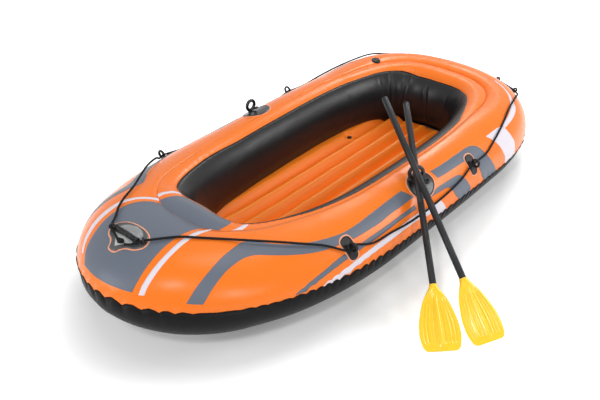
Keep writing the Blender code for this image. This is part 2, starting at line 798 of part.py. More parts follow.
def build_patch(name, skins, seat, outline, finish):
    """A welded patch: a prism through the skin, trimmed to the layer just above the tube."""
    mesh = outline_mesh(name, outline, PATCH_REACH)
    patch = add_part(name, mesh, finish)
    patch.matrix_world = seat.matrix
    boolean(patch, skins.patch_top, "INTERSECT")
    boolean(patch, skins.hull)
    return patch


def oval(length, width, points=32):
    """An ellipse outline."""
    return [
        (length / 2 * math.cos(FULL_TURN * k / points), width / 2 * math.sin(FULL_TURN * k / points))
        for k in range(points)]


def peanut(length, width, waist, taper=0.0, points=36):
    """Two round lobes along X joined by a narrower waist, the one toward +X smaller by taper."""
    outline = []
    for k in range(points):
        angle = FULL_TURN * k / points
        pinch = 1 - waist * math.cos(angle * 2 + math.pi) * 0.5 - waist * 0.5
        x = length / 2 * math.cos(angle)
        y = width / 2 * math.sin(angle) * pinch
        bulge = 1 + 0.35 * abs(math.cos(angle)) ** 2
        outline.append((x, y * bulge * (1 - taper * math.cos(angle))))
    return outline


def closed_curve(half, steps=3):
    """A smooth closed outline from the points of its +X half, mirrored in X."""
    points = [Vector(p) for p in half] + [Vector((-x, y)) for x, y in half[-2:0:-1]]
    count = len(points)
    outline = []
    for k in range(count):
        a, b, c, d = (points[(k + offset) % count] for offset in (-1, 0, 1, 2))
        for step in range(steps):
            outline.append(tuple(curve_point(a, b, c, d, step / steps)))
    return outline


def curve_point(a, b, c, d, t):
    """A point between b and c on the smooth curve through four points."""
    return 0.5 * (
        2 * b + (c - a) * t + (2 * a - 5 * b + 4 * c - d) * t ** 2
        + (3 * b - a - 3 * c + d) * t ** 3)


def top_seat(skins, x, y, heading):
    """A seat found from straight above."""
    return Seat(skins.tree, (x, y, 1.0), (0, 0, -1), heading)


def deck_place(stations, turn, from_crease):
    """A place on the outer chamber's top, seen from above: a share of the way round the boat
    from the bow by port, and how far it lies outside the crease."""
    first = int(turn * len(stations))
    pair = (stations[first], stations[(first + 1) % len(stations)])
    near, after = (station.place(station.crease - from_crease, 0.0) for station in pair)
    place = near.lerp(after, turn * len(stations) - first)
    return place.x, place.y


def tool_at(name, mesh, matrix):
    """A cutting tool placed in the world."""
    tool = add_cutter(name, mesh)
    tool.matrix_world = matrix
    return tool


def hang(part, pivot):
    """Parent a piece to the empty on its joint, without moving it."""
    place = part.matrix_world.copy()
    part.parent = pivot
    part.matrix_parent_inverse = pivot.matrix_world.inverted()
    part.matrix_world = place


def pivot_at(name, matrix):
    """An empty on a joint's axis."""
    pivot = bpy.data.objects.new(name, None)
    pivot.empty_display_size = 0.05
    pivot.matrix_world = matrix
    parts.objects.link(pivot)
    return pivot


def build_eye(name, skins, matrix, size, finish):
    """A moulded rope eye: an upright ring on a round foot that seats on its patch.

    The ring's hole faces along the frame's X axis.
    """
    radius, thickness, height, foot = size
    part = add_part(name, cylinder_mesh(name, foot, -0.02, EYE_FOOT_HEIGHT + PATCH_THICKNESS), finish)
    part.matrix_world = matrix
    ring = torus_mesh(name + "_ring", radius, thickness, sides=14, section_sides=6)
    ring.transform(Matrix.Translation((0, 0, height + PATCH_THICKNESS)))
    boolean(part, tool_at(name + "_ring", ring, matrix), "UNION")
    boolean(part, skins.over)
    return part


def build_side_holder(name, skins, x, y, finishes):
    """A rope holder: a two-lobed patch across the tube with an eye in its middle."""
    seat = top_seat(skins, x, y, (math.copysign(1, x), 0, 0))
    outline = peanut(
        HOLDER_PATCH_LENGTH, HOLDER_PATCH_WIDTH, HOLDER_PATCH_WAIST, HOLDER_PATCH_TAPER)
    build_patch(name + "_patch", skins, seat, outline, finishes["rubber"])
    facing = seat.matrix @ Matrix.Rotation(QUARTER_TURN, 4, "Z")
    size = (EYE_RADIUS, EYE_THICKNESS, EYE_HEIGHT, EYE_FOOT_DIAMETER)
    build_eye(name + "_eye", skins, facing, size, finishes["rubber"])


def side_seat(skins, x, y, z):
    """A seat found from outside, looking level toward the middle of the boat."""
    inward = Vector((-x, -y, 0)).normalized()
    origin = Vector((x, y, z)) - inward * 0.5
    return Seat(skins.tree, origin, inward, (-inward.y, inward.x, 0))


def build_stern_holder(name, skins, side, finishes):
    """A long patch round the stern quarter with a rope eye at each end."""
    seats = [side_seat(skins, side * x, y, STERN_EYE_Z) for x, y in STERN_EYES]
    middle = (seats[0].point + seats[1].point) / 2
    seat = side_seat(skins, middle.x, middle.y, STERN_EYE_Z)
    length = (seats[0].point - seats[1].point).length + STERN_PATCH_MARGIN * 2
    outline = peanut(length, STERN_PATCH_WIDTH, HOLDER_PATCH_WAIST)
    build_patch(name + "_patch", skins, seat, outline, finishes["rubber"])
    size = (STERN_EYE_RADIUS, EYE_THICKNESS, STERN_EYE_HEIGHT, STERN_EYE_FOOT)
    for suffix, eye_seat in zip(("outboard_eye", "inboard_eye"), seats):
        build_eye(name + "_" + suffix, skins, eye_seat.matrix, size, finishes["rubber"])


def build_oarlock(side_name, skins, x, yaw, finishes):
    """A rowlock: oval patch, moulded socket, and a ring that swivels on an upright pin."""
    side = math.copysign(1, x)
    seat = top_seat(skins, x, OARLOCK_Y, (0, 1, 0))
    name = side_name + "_oarlock"
    build_patch(
        name + "_patch", skins, top_seat(skins, side * OARLOCK_PATCH_X, OARLOCK_PATCH_Y, (0, 1, 0)),
        oval(OARLOCK_PATCH_LENGTH, OARLOCK_PATCH_WIDTH), finishes["rubber"])
    boss_seat = top_seat(skins, side * OARLOCK_BOSS_X, OARLOCK_BOSS_Y, (0, 1, 0))
    boss = add_part(
        name + "_boss",
        cylinder_mesh(name, OARLOCK_BOSS_DIAMETER * 1.2, -0.02, OARLOCK_BOSS_HEIGHT + PATCH_THICKNESS,
                      top_diameter=OARLOCK_BOSS_DIAMETER), finishes["rubber"])
    boss.matrix_world = boss_seat.matrix
    boolean(boss, tool_at(
        name + "_boss_bore", cylinder_mesh(name, OARLOCK_BOSS_BORE, -0.03, 0.03), boss_seat.matrix))
    boolean(boss, skins.over)
    upright = Matrix.Translation(seat.point)
    socket = add_part(
        name + "_socket",
        cylinder_mesh(name, OARLOCK_SOCKET_DIAMETER * 1.25, -0.04, OARLOCK_SOCKET_HEIGHT,
                      top_diameter=OARLOCK_SOCKET_DIAMETER),
        finishes["rubber"])
    socket.matrix_world = upright
    boolean(socket, skins.over)
    bore = OARLOCK_PIN_DIAMETER + OARLOCK_PIN_CLEARANCE * 2
    floor = OARLOCK_SOCKET_HEIGHT - OARLOCK_SOCKET_DEPTH
    boolean(socket, tool_at(
        name + "_bore", cylinder_mesh(name, bore, floor, OARLOCK_SOCKET_HEIGHT + 0.01), upright))
    centre = seat.point + Vector((0, 0, OARLOCK_RING_HEIGHT))
    ring_place = Matrix.Translation(centre) @ Matrix.Rotation(yaw, 4, "Z")
    ring = add_part(
        name + "_ring", torus_mesh(name, OARLOCK_RING_RADIUS, OARLOCK_RING_THICKNESS, 20),
        finishes["rubber"])
    ring.matrix_world = ring_place
    pin_foot = floor + SHEET_GAP - OARLOCK_RING_HEIGHT
    shoulder = OARLOCK_SOCKET_HEIGHT + SHEET_GAP - OARLOCK_RING_HEIGHT
    ring_foot = -OARLOCK_RING_RADIUS
    profile = (
        (0.0005, pin_foot), (OARLOCK_PIN_DIAMETER / 2, pin_foot),
        (OARLOCK_PIN_DIAMETER / 2, shoulder), (OARLOCK_COLLAR_DIAMETER / 2, shoulder),
        (OARLOCK_PIN_DIAMETER / 2, ring_foot), (0.0005, ring_foot))
    stem = solid_turned_mesh(name, profile)
    boolean(ring, tool_at(name + "_stem", stem, ring_place), "UNION")
    return ring


def solid_turned_mesh(name, profile, sides=ROUND_SIDES):
    """A solid of revolution about Z whose first and last profile points are its poles."""
    bm = bmesh.new()
    points = [bm.verts.new((radius, 0, height)) for radius, height in profile[1:-1]]
    foot = bm.verts.new((0, 0, profile[0][1]))
    head = bm.verts.new((0, 0, profile[-1][1]))
    chain = [foot, *points, head]
    edges = [bm.edges.new(pair) for pair in zip(chain, chain[1:])]
    bmesh.ops.spin(
        bm, geom=[*chain, *edges], cent=(0, 0, 0), axis=(0, 0, 1), angle=FULL_TURN,
        steps=sides, use_merge=True)
    bmesh.ops.remove_doubles(bm, verts=bm.verts[:], dist=0.00001)
    return mesh_from(bm, name)


def build_bow_fitting(skins, finishes):
    """The three-lobed bow patch with its dome, rope eyes, and folding carrying handle."""
    seat = top_seat(skins, BOW_PATCH_X, BOW_PATCH_Y, (1, 0, 0))
    build_patch(
        "bow_patch", skins, seat, closed_curve(BOW_PATCH_HALF), finishes["smoke"])
    lift = SEAT_GAP + PATCH_THICKNESS

    bm = bmesh.new()
    bmesh.ops.create_uvsphere(bm, u_segments=20, v_segments=12, radius=1.0)
    bmesh.ops.scale(
        bm, vec=(BOW_DOME_WIDTH / 2, BOW_DOME_LENGTH, BOW_DOME_HEIGHT + BOW_DOME_SINK), verts=bm.verts[:])
    cut = bmesh.ops.bisect_plane(
        bm, geom=[*bm.verts, *bm.edges, *bm.faces], plane_co=(0, BOW_DOME_CHORD, 0),
        plane_no=(0, -1, 0), clear_outer=True)
    rim = [e for e in cut["geom_cut"] if isinstance(e, bmesh.types.BMEdge)]
    bmesh.ops.contextual_create(bm, geom=rim)
    bmesh.ops.translate(bm, vec=(0, 0, lift - BOW_DOME_SINK), verts=bm.verts[:])
    dome = add_part("bow_dome", mesh_from(bm, "bow_dome"), finishes["smoke"])
    dome.matrix_world = seat.matrix
    boolean(dome, skins.over)

    axis = seat.matrix @ Matrix.Translation((0, HANDLE_AXIS_Y, lift + HANDLE_LIFT))
    for side_name, side in (("port", 1), ("starboard", -1)):
        name = "bow_handle_ear_" + side_name
        bm = bmesh.new()
        bmesh.ops.create_cube(bm, size=1.0)
        height = HANDLE_LIFT + HANDLE_EAR_RISE + HANDLE_EAR_SINK
        bmesh.ops.scale(bm, vec=(HANDLE_EAR_WIDTH, HANDLE_EAR_LENGTH, height), verts=bm.verts[:])
        middle = HANDLE_EAR_RISE - height / 2
        ear = add_part(name, mesh_from(bm, name), finishes["rubber"], smooth=False)
        offset = side * (HANDLE_SPAN / 2 + HANDLE_EAR_WIDTH / 2)
        ear.matrix_world = axis @ Matrix.Translation((offset, 0, middle))
        boolean(ear, skins.over)
        bore = cylinder_mesh(name, HANDLE_PIN_DIAMETER + HANDLE_PIN_CLEARANCE * 2, -0.02, 0.02)
        turn = Matrix.Rotation(QUARTER_TURN, 4, "Y")
        boolean(ear, tool_at(name + "_bore", bore, ear.matrix_world
                             @ Matrix.Translation((0, 0, -middle)) @ turn))
        eye_x, eye_y = BOW_EYE_OFFSET[side]
        eye_seat = top_seat(skins, BOW_PATCH_X + eye_x, BOW_PATCH_Y + eye_y, BOW_EYE_HEADING[side])
        size = (BOW_EYE_RADIUS, BOW_EYE_THICKNESS, BOW_EYE_HEIGHT, BOW_EYE_FOOT)
        build_eye("bow_rope_eye_" + side_name, skins, eye_seat.matrix, size, finishes["rubber"])

    half = HANDLE_SPAN / 2
    inset = HANDLE_BEND
    route = [(-half - HANDLE_PIN_LENGTH, 0, 0), (-half + inset * 0.6, 0, 0)]
    for k in range(1, 5):
        angle = QUARTER_TURN * k / 4
        route.append((-half + inset * (0.6 + 0.4 * math.sin(angle)), -HANDLE_REACH * 0.35 * (1 - math.cos(angle)), 0))
    for k in range(5):
        angle = QUARTER_TURN * k / 4
        route.append((
            -half + inset * (2 - math.cos(angle)),
            -HANDLE_REACH + HANDLE_REACH * 0.4 * (1 - math.sin(angle)), 0))
    route += [(-x, y, z) for x, y, z in reversed(route)]
    bail = tube_mesh("bow_handle", route, HANDLE_PIN_DIAMETER)
    handle = add_part("bow_handle", bail, finishes["rubber"])
    handle.matrix_world = axis
    grip = cylinder_mesh(
        "bow_handle_grip", HANDLE_GRIP_DIAMETER, -HANDLE_GRIP_LENGTH / 2, HANDLE_GRIP_LENGTH / 2)
    grip_place = axis @ Matrix.Translation((0, -HANDLE_REACH, 0)) @ Matrix.Rotation(QUARTER_TURN, 4, "Y")
    boolean(handle, tool_at("bow_handle_grip", grip, grip_place), "UNION")

    knot_seat = top_seat(skins, 0.0, KNOT_Y, (1, 0, 0))
    bm = bmesh.new()
    bmesh.ops.create_uvsphere(bm, u_segments=12, v_segments=8, radius=1.0)
    bmesh.ops.scale(bm, vec=(KNOT_LENGTH / 2, KNOT_WIDTH / 2, KNOT_HEIGHT / 2), verts=bm.verts[:])
    bmesh.ops.translate(bm, vec=(0, 0, lift + KNOT_HEIGHT / 2 - KNOT_SINK), verts=bm.verts[:])
    knot = add_part("grab_line_knot", mesh_from(bm, "grab_line_knot"), finishes["rope"])
    knot.matrix_world = knot_seat.matrix
    boolean(knot, skins.over)
    return axis.translation


def build_chamber_valve(name, skins, seat, chamber, finishes):
    """A screw valve: flanged base welded in a sheet, check insert, umbrella flap, and cap."""
    place = seat.matrix
    neck = VALVE_NECK_DIAMETER / 2
    bore = neck - VALVE_WALL
    flange = VALVE_FLANGE_DIAMETER / 2
    pocket = cylinder_mesh(name, (neck + VALVE_CLEARANCE) * 2, -VALVE_NECK_DEPTH - VALVE_POCKET_SPARE, 0.02)
    boolean(chamber, tool_at(name + "_pocket", pocket, place))
    ring = turned_mesh(name, (
        (bore, -VALVE_FLANGE_SINK), (flange, -VALVE_FLANGE_SINK), (flange, VALVE_FLANGE_THICKNESS * 0.5),
        (flange - VALVE_FLANGE_THICKNESS * 0.5, VALVE_FLANGE_THICKNESS), (bore, VALVE_FLANGE_THICKNESS)))
    base = add_part(name + "_base", ring, finishes["rubber"])
    base.matrix_world = place
    boolean(base, skins.hull)
    tube = turned_mesh(name, (
        (bore, -VALVE_NECK_DEPTH), (neck, -VALVE_NECK_DEPTH), (neck, VALVE_FLANGE_THICKNESS * 0.6),
        (bore, VALVE_FLANGE_THICKNESS)))
    boolean(base, tool_at(name + "_neck", tube, place), "UNION")

    body = bore - VALVE_CLEARANCE
    head = INSERT_HEAD_DIAMETER / 2
    throat = INSERT_BORE / 2
    foot = -VALVE_NECK_DEPTH + INSERT_FOOT_RISE
    seat_height = VALVE_FLANGE_THICKNESS + SHEET_GAP
    insert = add_part(name + "_insert", turned_mesh(name, (
        (INSERT_STEM_BORE / 2, foot), (body, foot), (body, seat_height), (head, seat_height),
        (head, seat_height + INSERT_HEAD_THICKNESS), (throat, seat_height + INSERT_HEAD_THICKNESS),
        (throat, foot + INSERT_FLOOR), (INSERT_STEM_BORE / 2, foot + INSERT_FLOOR))), finishes["rubber"])
    insert.matrix_world = place
    for k in range(INSERT_PORTS):
        angle = FULL_TURN * (k + 0.5) / INSERT_PORTS
        port = cylinder_mesh(name, INSERT_PORT_DIAMETER, foot - 0.001, foot + INSERT_FLOOR + 0.001, 8)
        port.transform(Matrix.Translation((
            INSERT_PORT_CIRCLE / 2 * math.cos(angle), INSERT_PORT_CIRCLE / 2 * math.sin(angle), 0)))
        boolean(insert, tool_at(f"{name}_port_{k}", port, place))

    under = foot - SHEET_GAP
    over = foot + INSERT_FLOOR + SHEET_GAP
    stem = INSERT_STEM_BORE / 2 - VALVE_CLEARANCE
    flap = add_part(name + "_flap", solid_turned_mesh(name, (
        (0, under - FLAP_THICKNESS), (FLAP_DIAMETER / 2, under - FLAP_THICKNESS * 0.5),
        (FLAP_DIAMETER / 2, under), (stem, under), (stem, over), (stem + FLAP_BUTTON, over),
        (stem, over + FLAP_BUTTON), (0, over + FLAP_BUTTON))), finishes["rubber"])
    flap.matrix_world = place

    rest = seat_height + INSERT_HEAD_THICKNESS + SHEET_GAP
    cap_radius = CAP_DIAMETER / 2
    plug = throat - VALVE_CLEARANCE
    cap = add_part(name + "_cap", solid_turned_mesh(name, (
        (0, rest - CAP_PLUG_DEPTH), (plug, rest - CAP_PLUG_DEPTH), (plug, rest), (cap_radius, rest),
        (cap_radius, rest + CAP_THICKNESS * 0.7), (cap_radius - CAP_THICKNESS * 0.4, rest + CAP_THICKNESS),
        (0, rest + CAP_THICKNESS))), finishes["rubber"])
    cap.matrix_world = place


def build_floor_valve(panel, finishes):
    """A small press-in valve let into a flat recess on a floor rib."""
    name = "floor_valve"
    low = FLOOR_VALVE_SEAT_Z
    place = Matrix.Translation((FLOOR_VALVE_X, FLOOR_VALVE_Y, low))
    radius = FLOOR_VALVE_DIAMETER / 2
    neck = FLOOR_VALVE_BORE / 2 + VALVE_WALL
    recess = cylinder_mesh(name, (radius + VALVE_CLEARANCE) * 2, -SHEET_GAP, 0.05)
    boolean(panel, tool_at(name + "_recess", recess, place))
    pocket = cylinder_mesh(name, (neck + VALVE_CLEARANCE) * 2, -FLOOR_VALVE_DEPTH - SHEET_GAP * 2, 0.01)
    boolean(panel, tool_at(name + "_pocket", pocket, place))
    bore = FLOOR_VALVE_BORE / 2
    base = add_part(name + "_base", turned_mesh(name, (
        (bore, -FLOOR_VALVE_DEPTH), (neck, -FLOOR_VALVE_DEPTH), (neck, 0), (radius, 0),
        (radius, FLOOR_VALVE_THICKNESS), (bore, FLOOR_VALVE_THICKNESS))), finishes["rubber"])
    base.matrix_world = place
    rest = FLOOR_VALVE_THICKNESS + SHEET_GAP
    plug_radius = bore - VALVE_CLEARANCE
    plug = add_part(name + "_plug", solid_turned_mesh(name, (
        (0, rest - CAP_PLUG_DEPTH), (plug_radius * 0.9, rest - CAP_PLUG_DEPTH), (plug_radius, rest),
        (radius * 0.75, rest), (radius * 0.7, rest + FLOOR_VALVE_THICKNESS * 0.8),
        (0, rest + FLOOR_VALVE_THICKNESS))), finishes["rubber"])
    plug.matrix_world = place


def blade_mesh(name):
    """A blade lofted from its squared tip to a round socket, with a ridge and fanned ribs.

    The blade lies in the X-Y plane, its tip at the origin and its socket toward +Y.
    """
    sides = BLADE_SIDES
    socket = SHAFT_DIAMETER / 2 + OAR_FIT_CLEARANCE + BLADE_SOCKET_WALL
    rows = BLADE_ROWS
    bm = bmesh.new()
    rings = []
    for row in range(rows + 1):
        share = row / rows
        y = BLADE_LENGTH * share ** 1.4
        rings.append(blade_ring(bm, y, socket, sides))
    rings.append(blade_ring(bm, BLADE_LENGTH + BLADE_SOCKET_LENGTH, socket, sides))
    join_rings(bm, rings, closed=False)
    bm.faces.new(rings[0])
    bm.faces.new(rings[-1])
    return mesh_from(bm, name)


def blade_ring(bm, y, socket, sides):
    """One section of the blade at a distance from its tip."""
    along = min(y / BLADE_LENGTH, 1.0)
    half = BLADE_WIDTH / 2
    corner = 1 - 0.16 * max(1 - along / 0.10, 0) ** 2
    swell = 0.90 + 0.10 * math.sin(math.pi * min(along / 0.7, 1.0))
    narrow = smooth_step((along - 0.35) / 0.65) ** 2.2
    a = half * corner * swell * (1 - narrow) + socket * narrow
    round_share = smooth_step((along - 0.72) / 0.28)
    edge = BLADE_THICKNESS / 2
    b = edge * (1 - round_share) + socket * round_share
    ring = []
    for k in range(sides):
        angle = FULL_TURN * k / sides
        x = a * math.cos(angle)
        sine = math.sin(angle)
        flat_z = math.copysign(abs(sine) ** 0.5, sine) * edge if abs(sine) > 1e-9 else 0.0
        spread = x / max(a, 1e-6)
        ridge = BLADE_RIDGE * math.exp(-(x / 0.010) ** 2)
        ribs = BLADE_RIB * math.cos(spread * math.pi * 5) * (1 - spread ** 2) * min(along / 0.15, 1)
        if sine > 0.05:
            flat_z += (ridge + ribs) * min(along / 0.12, 1)
        z = flat_z * (1 - round_share) + b * sine * round_share
        ring.append(bm.verts.new((x, y, z)))
    return ring


def aim(origin, through, roll=0.0):
    """A frame at origin whose Y axis runs to a point, with X level."""
    along = (Vector(through) - Vector(origin)).normalized()
    across = along.cross(Vector((0, 0, 1))).normalized()
    up = across.cross(along)
    frame = Matrix((across, along, up)).transposed().to_4x4()
    return Matrix.Translation(origin) @ frame @ Matrix.Rotation(roll, 4, "Y")


def rest_oar(blade, tip, through):
    """Aim an oar from the ground through a point, its blade just clear of the ground."""
    height = 0.01
    for _ in range(6):
        place = aim((tip[0], tip[1], height), through)
        lowest = min((place @ v.co).z for v in blade.vertices)
        height += BLADE_GROUND_GAP - lowest
    return aim((tip[0], tip[1], height), through)


def build_oar(name, tip, through, finishes):
    """An oar in two tubes that push together, with a moulded blade and an end cap."""
    solid = blade_mesh(name + "_blade")
    place = rest_oar(solid, tip, through)
    blade = add_part(name + "_blade", solid, finishes["yellow"])
    blade.matrix_world = place
    upright = Matrix.Rotation(-QUARTER_TURN, 4, "X")
    outside = SHAFT_DIAMETER / 2
    inside = outside - SHAFT_WALL
    start = BLADE_LENGTH - BLADE_SOCKET_SINK
    bore = cylinder_mesh(
        name, SHAFT_DIAMETER + OAR_FIT_CLEARANCE * 2, start - SHEET_GAP,
        BLADE_LENGTH + BLADE_SOCKET_LENGTH + 0.01)
    bore.transform(upright)
    boolean(blade, tool_at(name + "_socket", bore, place))

    joint = OAR_LENGTH - HANDLE_TUBE_LENGTH
    neck = inside - OAR_FIT_CLEARANCE
    tube = turned_mesh(name, (
        (neck - SHAFT_WALL, start), (outside, start), (outside, joint - SHEET_GAP),
        (neck, joint - SHEET_GAP), (neck, joint + OAR_JOINT_OVERLAP),
        (neck - SHAFT_WALL, joint + OAR_JOINT_OVERLAP)))
    tube.transform(upright)
    shaft = add_part(name + "_blade_tube", tube, finishes["shaft"])
    shaft.matrix_world = place

    end = OAR_LENGTH - GRIP_CAP_THICKNESS
    tube = turned_mesh(name, (
        (inside, joint), (outside, joint), (outside, end - SHEET_GAP), (inside, end - SHEET_GAP)))
    tube.transform(upright)
    handle = add_part(name + "_handle_tube", tube, finishes["shaft"])
    handle.matrix_world = place

    plug = inside - OAR_FIT_CLEARANCE
    cap_mesh = solid_turned_mesh(name, (
        (0, end - GRIP_CAP_PLUG), (plug, end - GRIP_CAP_PLUG), (plug, end), (outside, end),
        (outside, OAR_LENGTH - 0.001), (outside - 0.001, OAR_LENGTH), (0, OAR_LENGTH)))
    cap_mesh.transform(upright)
    cap = add_part(name + "_end_cap", cap_mesh, finishes["rubber"])
    cap.matrix_world = place
    return place, (blade, shaft), (handle, cap)


def rest_height(tip, over, ring):
    """How high a shaft from the ground passes over a point to lie just clear of a ring."""
    points = [ring.matrix_world @ v.co for v in ring.data.vertices]
    foot = Vector((*tip, BLADE_THICKNESS))
    low = ring.matrix_world.translation.z + OARLOCK_RING_RADIUS
    high = low + SHAFT_DIAMETER * 3
    for _ in range(24):
        middle = (low + high) / 2
        along = (Vector((*over, middle)) - foot).normalized()
        nearest = min((along.cross(point - foot)).length for point in points)
        if nearest < SHAFT_DIAMETER / 2 + OAR_REST_GAP:
            low = middle
        else:
            high = middle
    return high


def build_grab_line(finish):
    """The rope round the boat, as one tube from the knot back to the knot."""
    starboard = [*ROPE_STARBOARD_FORE, *((-x, y, z) for x, y, z in ROPE_HALF_AFT)]
    port = [*ROPE_PORT_FORE, *ROPE_HALF_AFT]
    points = [Vector(point) for point in (*starboard, ROPE_STERN_POINT, *reversed(port))]
    mesh = tube_mesh("grab_line", points, ROPE_DIAMETER, ROPE_ROUNDNESS)
    add_part("grab_line", mesh, finish)
    length = sum((b - a).length for a, b in zip(points, points[1:]))
    print(f"grab line: {length:.3f} m long")


def main():
    """Build the boat from its hull out to its oars and rope."""
    global parts, cutters
    clear_scene()
    parts = bpy.data.collections.new("inflatable_boat")
    cutters = bpy.data.collections.new("cutters")
    bpy.context.scene.collection.children.link(parts)
    bpy.context.scene.collection.children.link(cutters)
    finishes = {
        "orange": material("orange_vinyl", (0.98, 0.22, 0.03), 0.32),
        "floor": material("floor_vinyl", (0.90, 0.17, 0.02), 0.38),
        "black": material("black_vinyl", (0.013, 0.013, 0.015), 0.35),
        "rubber": material("black_rubber", (0.012, 0.012, 0.013), 0.45),
        "smoke": material("smoked_vinyl", (0.08, 0.085, 0.09), 0.25),
        "rope": material("black_rope", (0.010, 0.010, 0.011), 0.85),
        "shaft": material("oar_tube", (0.030, 0.032, 0.036), 0.38),
        "yellow": material("blade_plastic", (0.98, 0.56, 0.02), 0.28),
    }
    stations = make_stations()
    chambers = build_chambers(stations, finishes)
    build_welt(stations, finishes["black"])
    skins = Skins(stations)
    panel, _ = build_floor(stations, finishes, skins)

    port_tip = Vector((*PORT_OAR_TIP, 0))
    toward = Vector((OARLOCK_X, OARLOCK_Y, 0)) - port_tip
    port_ring = build_oarlock("port", skins, OARLOCK_X, math.atan2(toward.y, toward.x), finishes)
    build_oarlock("starboard", skins, -OARLOCK_X, 0.0, finishes)

    for side_name, side in (("port", 1), ("starboard", -1)):
        build_side_holder(f"{side_name}_fore_holder", skins, *FORE_HOLDER_PLACE[side], finishes)
        build_side_holder(f"{side_name}_aft_holder", skins, side * AFT_HOLDER_X, AFT_HOLDER_Y, finishes)
        build_stern_holder(f"{side_name}_stern_holder", skins, side, finishes)
    handle_axis = build_bow_fitting(skins, finishes)

    outer_place = deck_place(stations, OUTER_VALVE_TURN, OUTER_VALVE_FROM_CREASE)
    outer_seat = top_seat(skins, *outer_place, (1, 0, 0))
    build_chamber_valve("outer_valve", skins, outer_seat, chambers["outer_chamber_top"], finishes)
    inner_seat = Seat(skins.tree, (0.0, INNER_VALVE_Y, INNER_VALVE_Z), (1, 0, 0), (0, 1, 0))
    build_chamber_valve("inner_valve", skins, inner_seat, chambers["inner_chamber_wall"], finishes)
    build_floor_valve(panel, finishes)

    oarlock = port_ring.matrix_world.translation
    port_place, port_low, port_high = build_oar("port_oar", PORT_OAR_TIP, oarlock, finishes)
    rest = (*SPARE_OAR_REST, rest_height(SPARE_OAR_TIP, SPARE_OAR_REST, port_ring))
    spare_place, spare_low, spare_high = build_oar("spare_oar", SPARE_OAR_TIP, rest, finishes)
    swing = Matrix.Translation(oarlock) @ port_place.to_3x3().to_4x4()
    for pivot_name, place, pieces in (
            ("port_oar_pivot", swing, port_low + port_high),
            ("spare_oar_pivot", spare_place, spare_low + spare_high)):
        pivot = pivot_at(pivot_name, place)
        for piece in pieces:
            hang(piece, pivot)
    build_grab_line(finishes["rope"])
    for label, place in (("oarlock", oarlock), ("spare oar rest", rest), ("bow handle", handle_axis)):
        print(label, "at", ", ".join(f"{value:.5f}" for value in place))


main()
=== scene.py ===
"""An inflatable boat with its pair of oars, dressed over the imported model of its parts.

The hull is one smooth form of two lobes, worked out again here from the same named sizes as
the part's source. Every sheet, printed band, patch and fitting is laid on that form.
"""

import logging
import math
from dataclasses import dataclass, field
from enum import Enum

import bmesh
import bpy
import numpy as np
from mathutils import Matrix


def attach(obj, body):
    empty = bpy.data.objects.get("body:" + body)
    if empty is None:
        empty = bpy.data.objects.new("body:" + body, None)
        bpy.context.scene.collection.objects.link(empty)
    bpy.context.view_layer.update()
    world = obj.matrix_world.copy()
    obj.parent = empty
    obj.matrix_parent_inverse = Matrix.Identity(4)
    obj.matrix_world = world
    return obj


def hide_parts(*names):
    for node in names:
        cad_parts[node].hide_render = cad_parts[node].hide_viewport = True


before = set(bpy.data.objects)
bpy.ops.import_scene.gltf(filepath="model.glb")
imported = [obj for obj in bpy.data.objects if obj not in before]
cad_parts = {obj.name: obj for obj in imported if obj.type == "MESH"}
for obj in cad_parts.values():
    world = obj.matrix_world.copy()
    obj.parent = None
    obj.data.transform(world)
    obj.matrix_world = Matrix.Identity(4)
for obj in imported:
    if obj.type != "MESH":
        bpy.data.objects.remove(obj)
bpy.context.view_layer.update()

log = logging.getLogger("inflatable_boat")
Array = np.ndarray
Points = tuple[tuple[float, float], ...]
FULL_TURN = 2 * math.pi
# Columns of the table of the hull's sections, after the edge's x, y and the inward direction's x, y
(OUTER_RADIUS, INNER_RADIUS, INNER_CENTRE, HALF_HEIGHT,
 CREASE_ANGLE, RIM_ANGLE, SEAM_ANGLE, CREASE) = range(4, 12)


class Slot(Enum):
    """The record's material slots."""

    ORANGE = "orange_vinyl"
    FLOOR = "floor_vinyl"
    BLACK = "black_vinyl"
    RUBBER = "black_rubber"
    SMOKE = "smoked_vinyl"
    ROPE = "black_rope"
    TUBE = "oar_tube"
    BLADE = "blade_plastic"


class Side(Enum):
    """The two sides of the boat, with the sign of their X."""

    PORT = 1
    STARBOARD = -1


class Lobe(Enum):
    """The two lobes of the tubes' section."""

    OUTER = "outer"
    INNER = "inner"


# ---------------------------------------------------------------- meshes


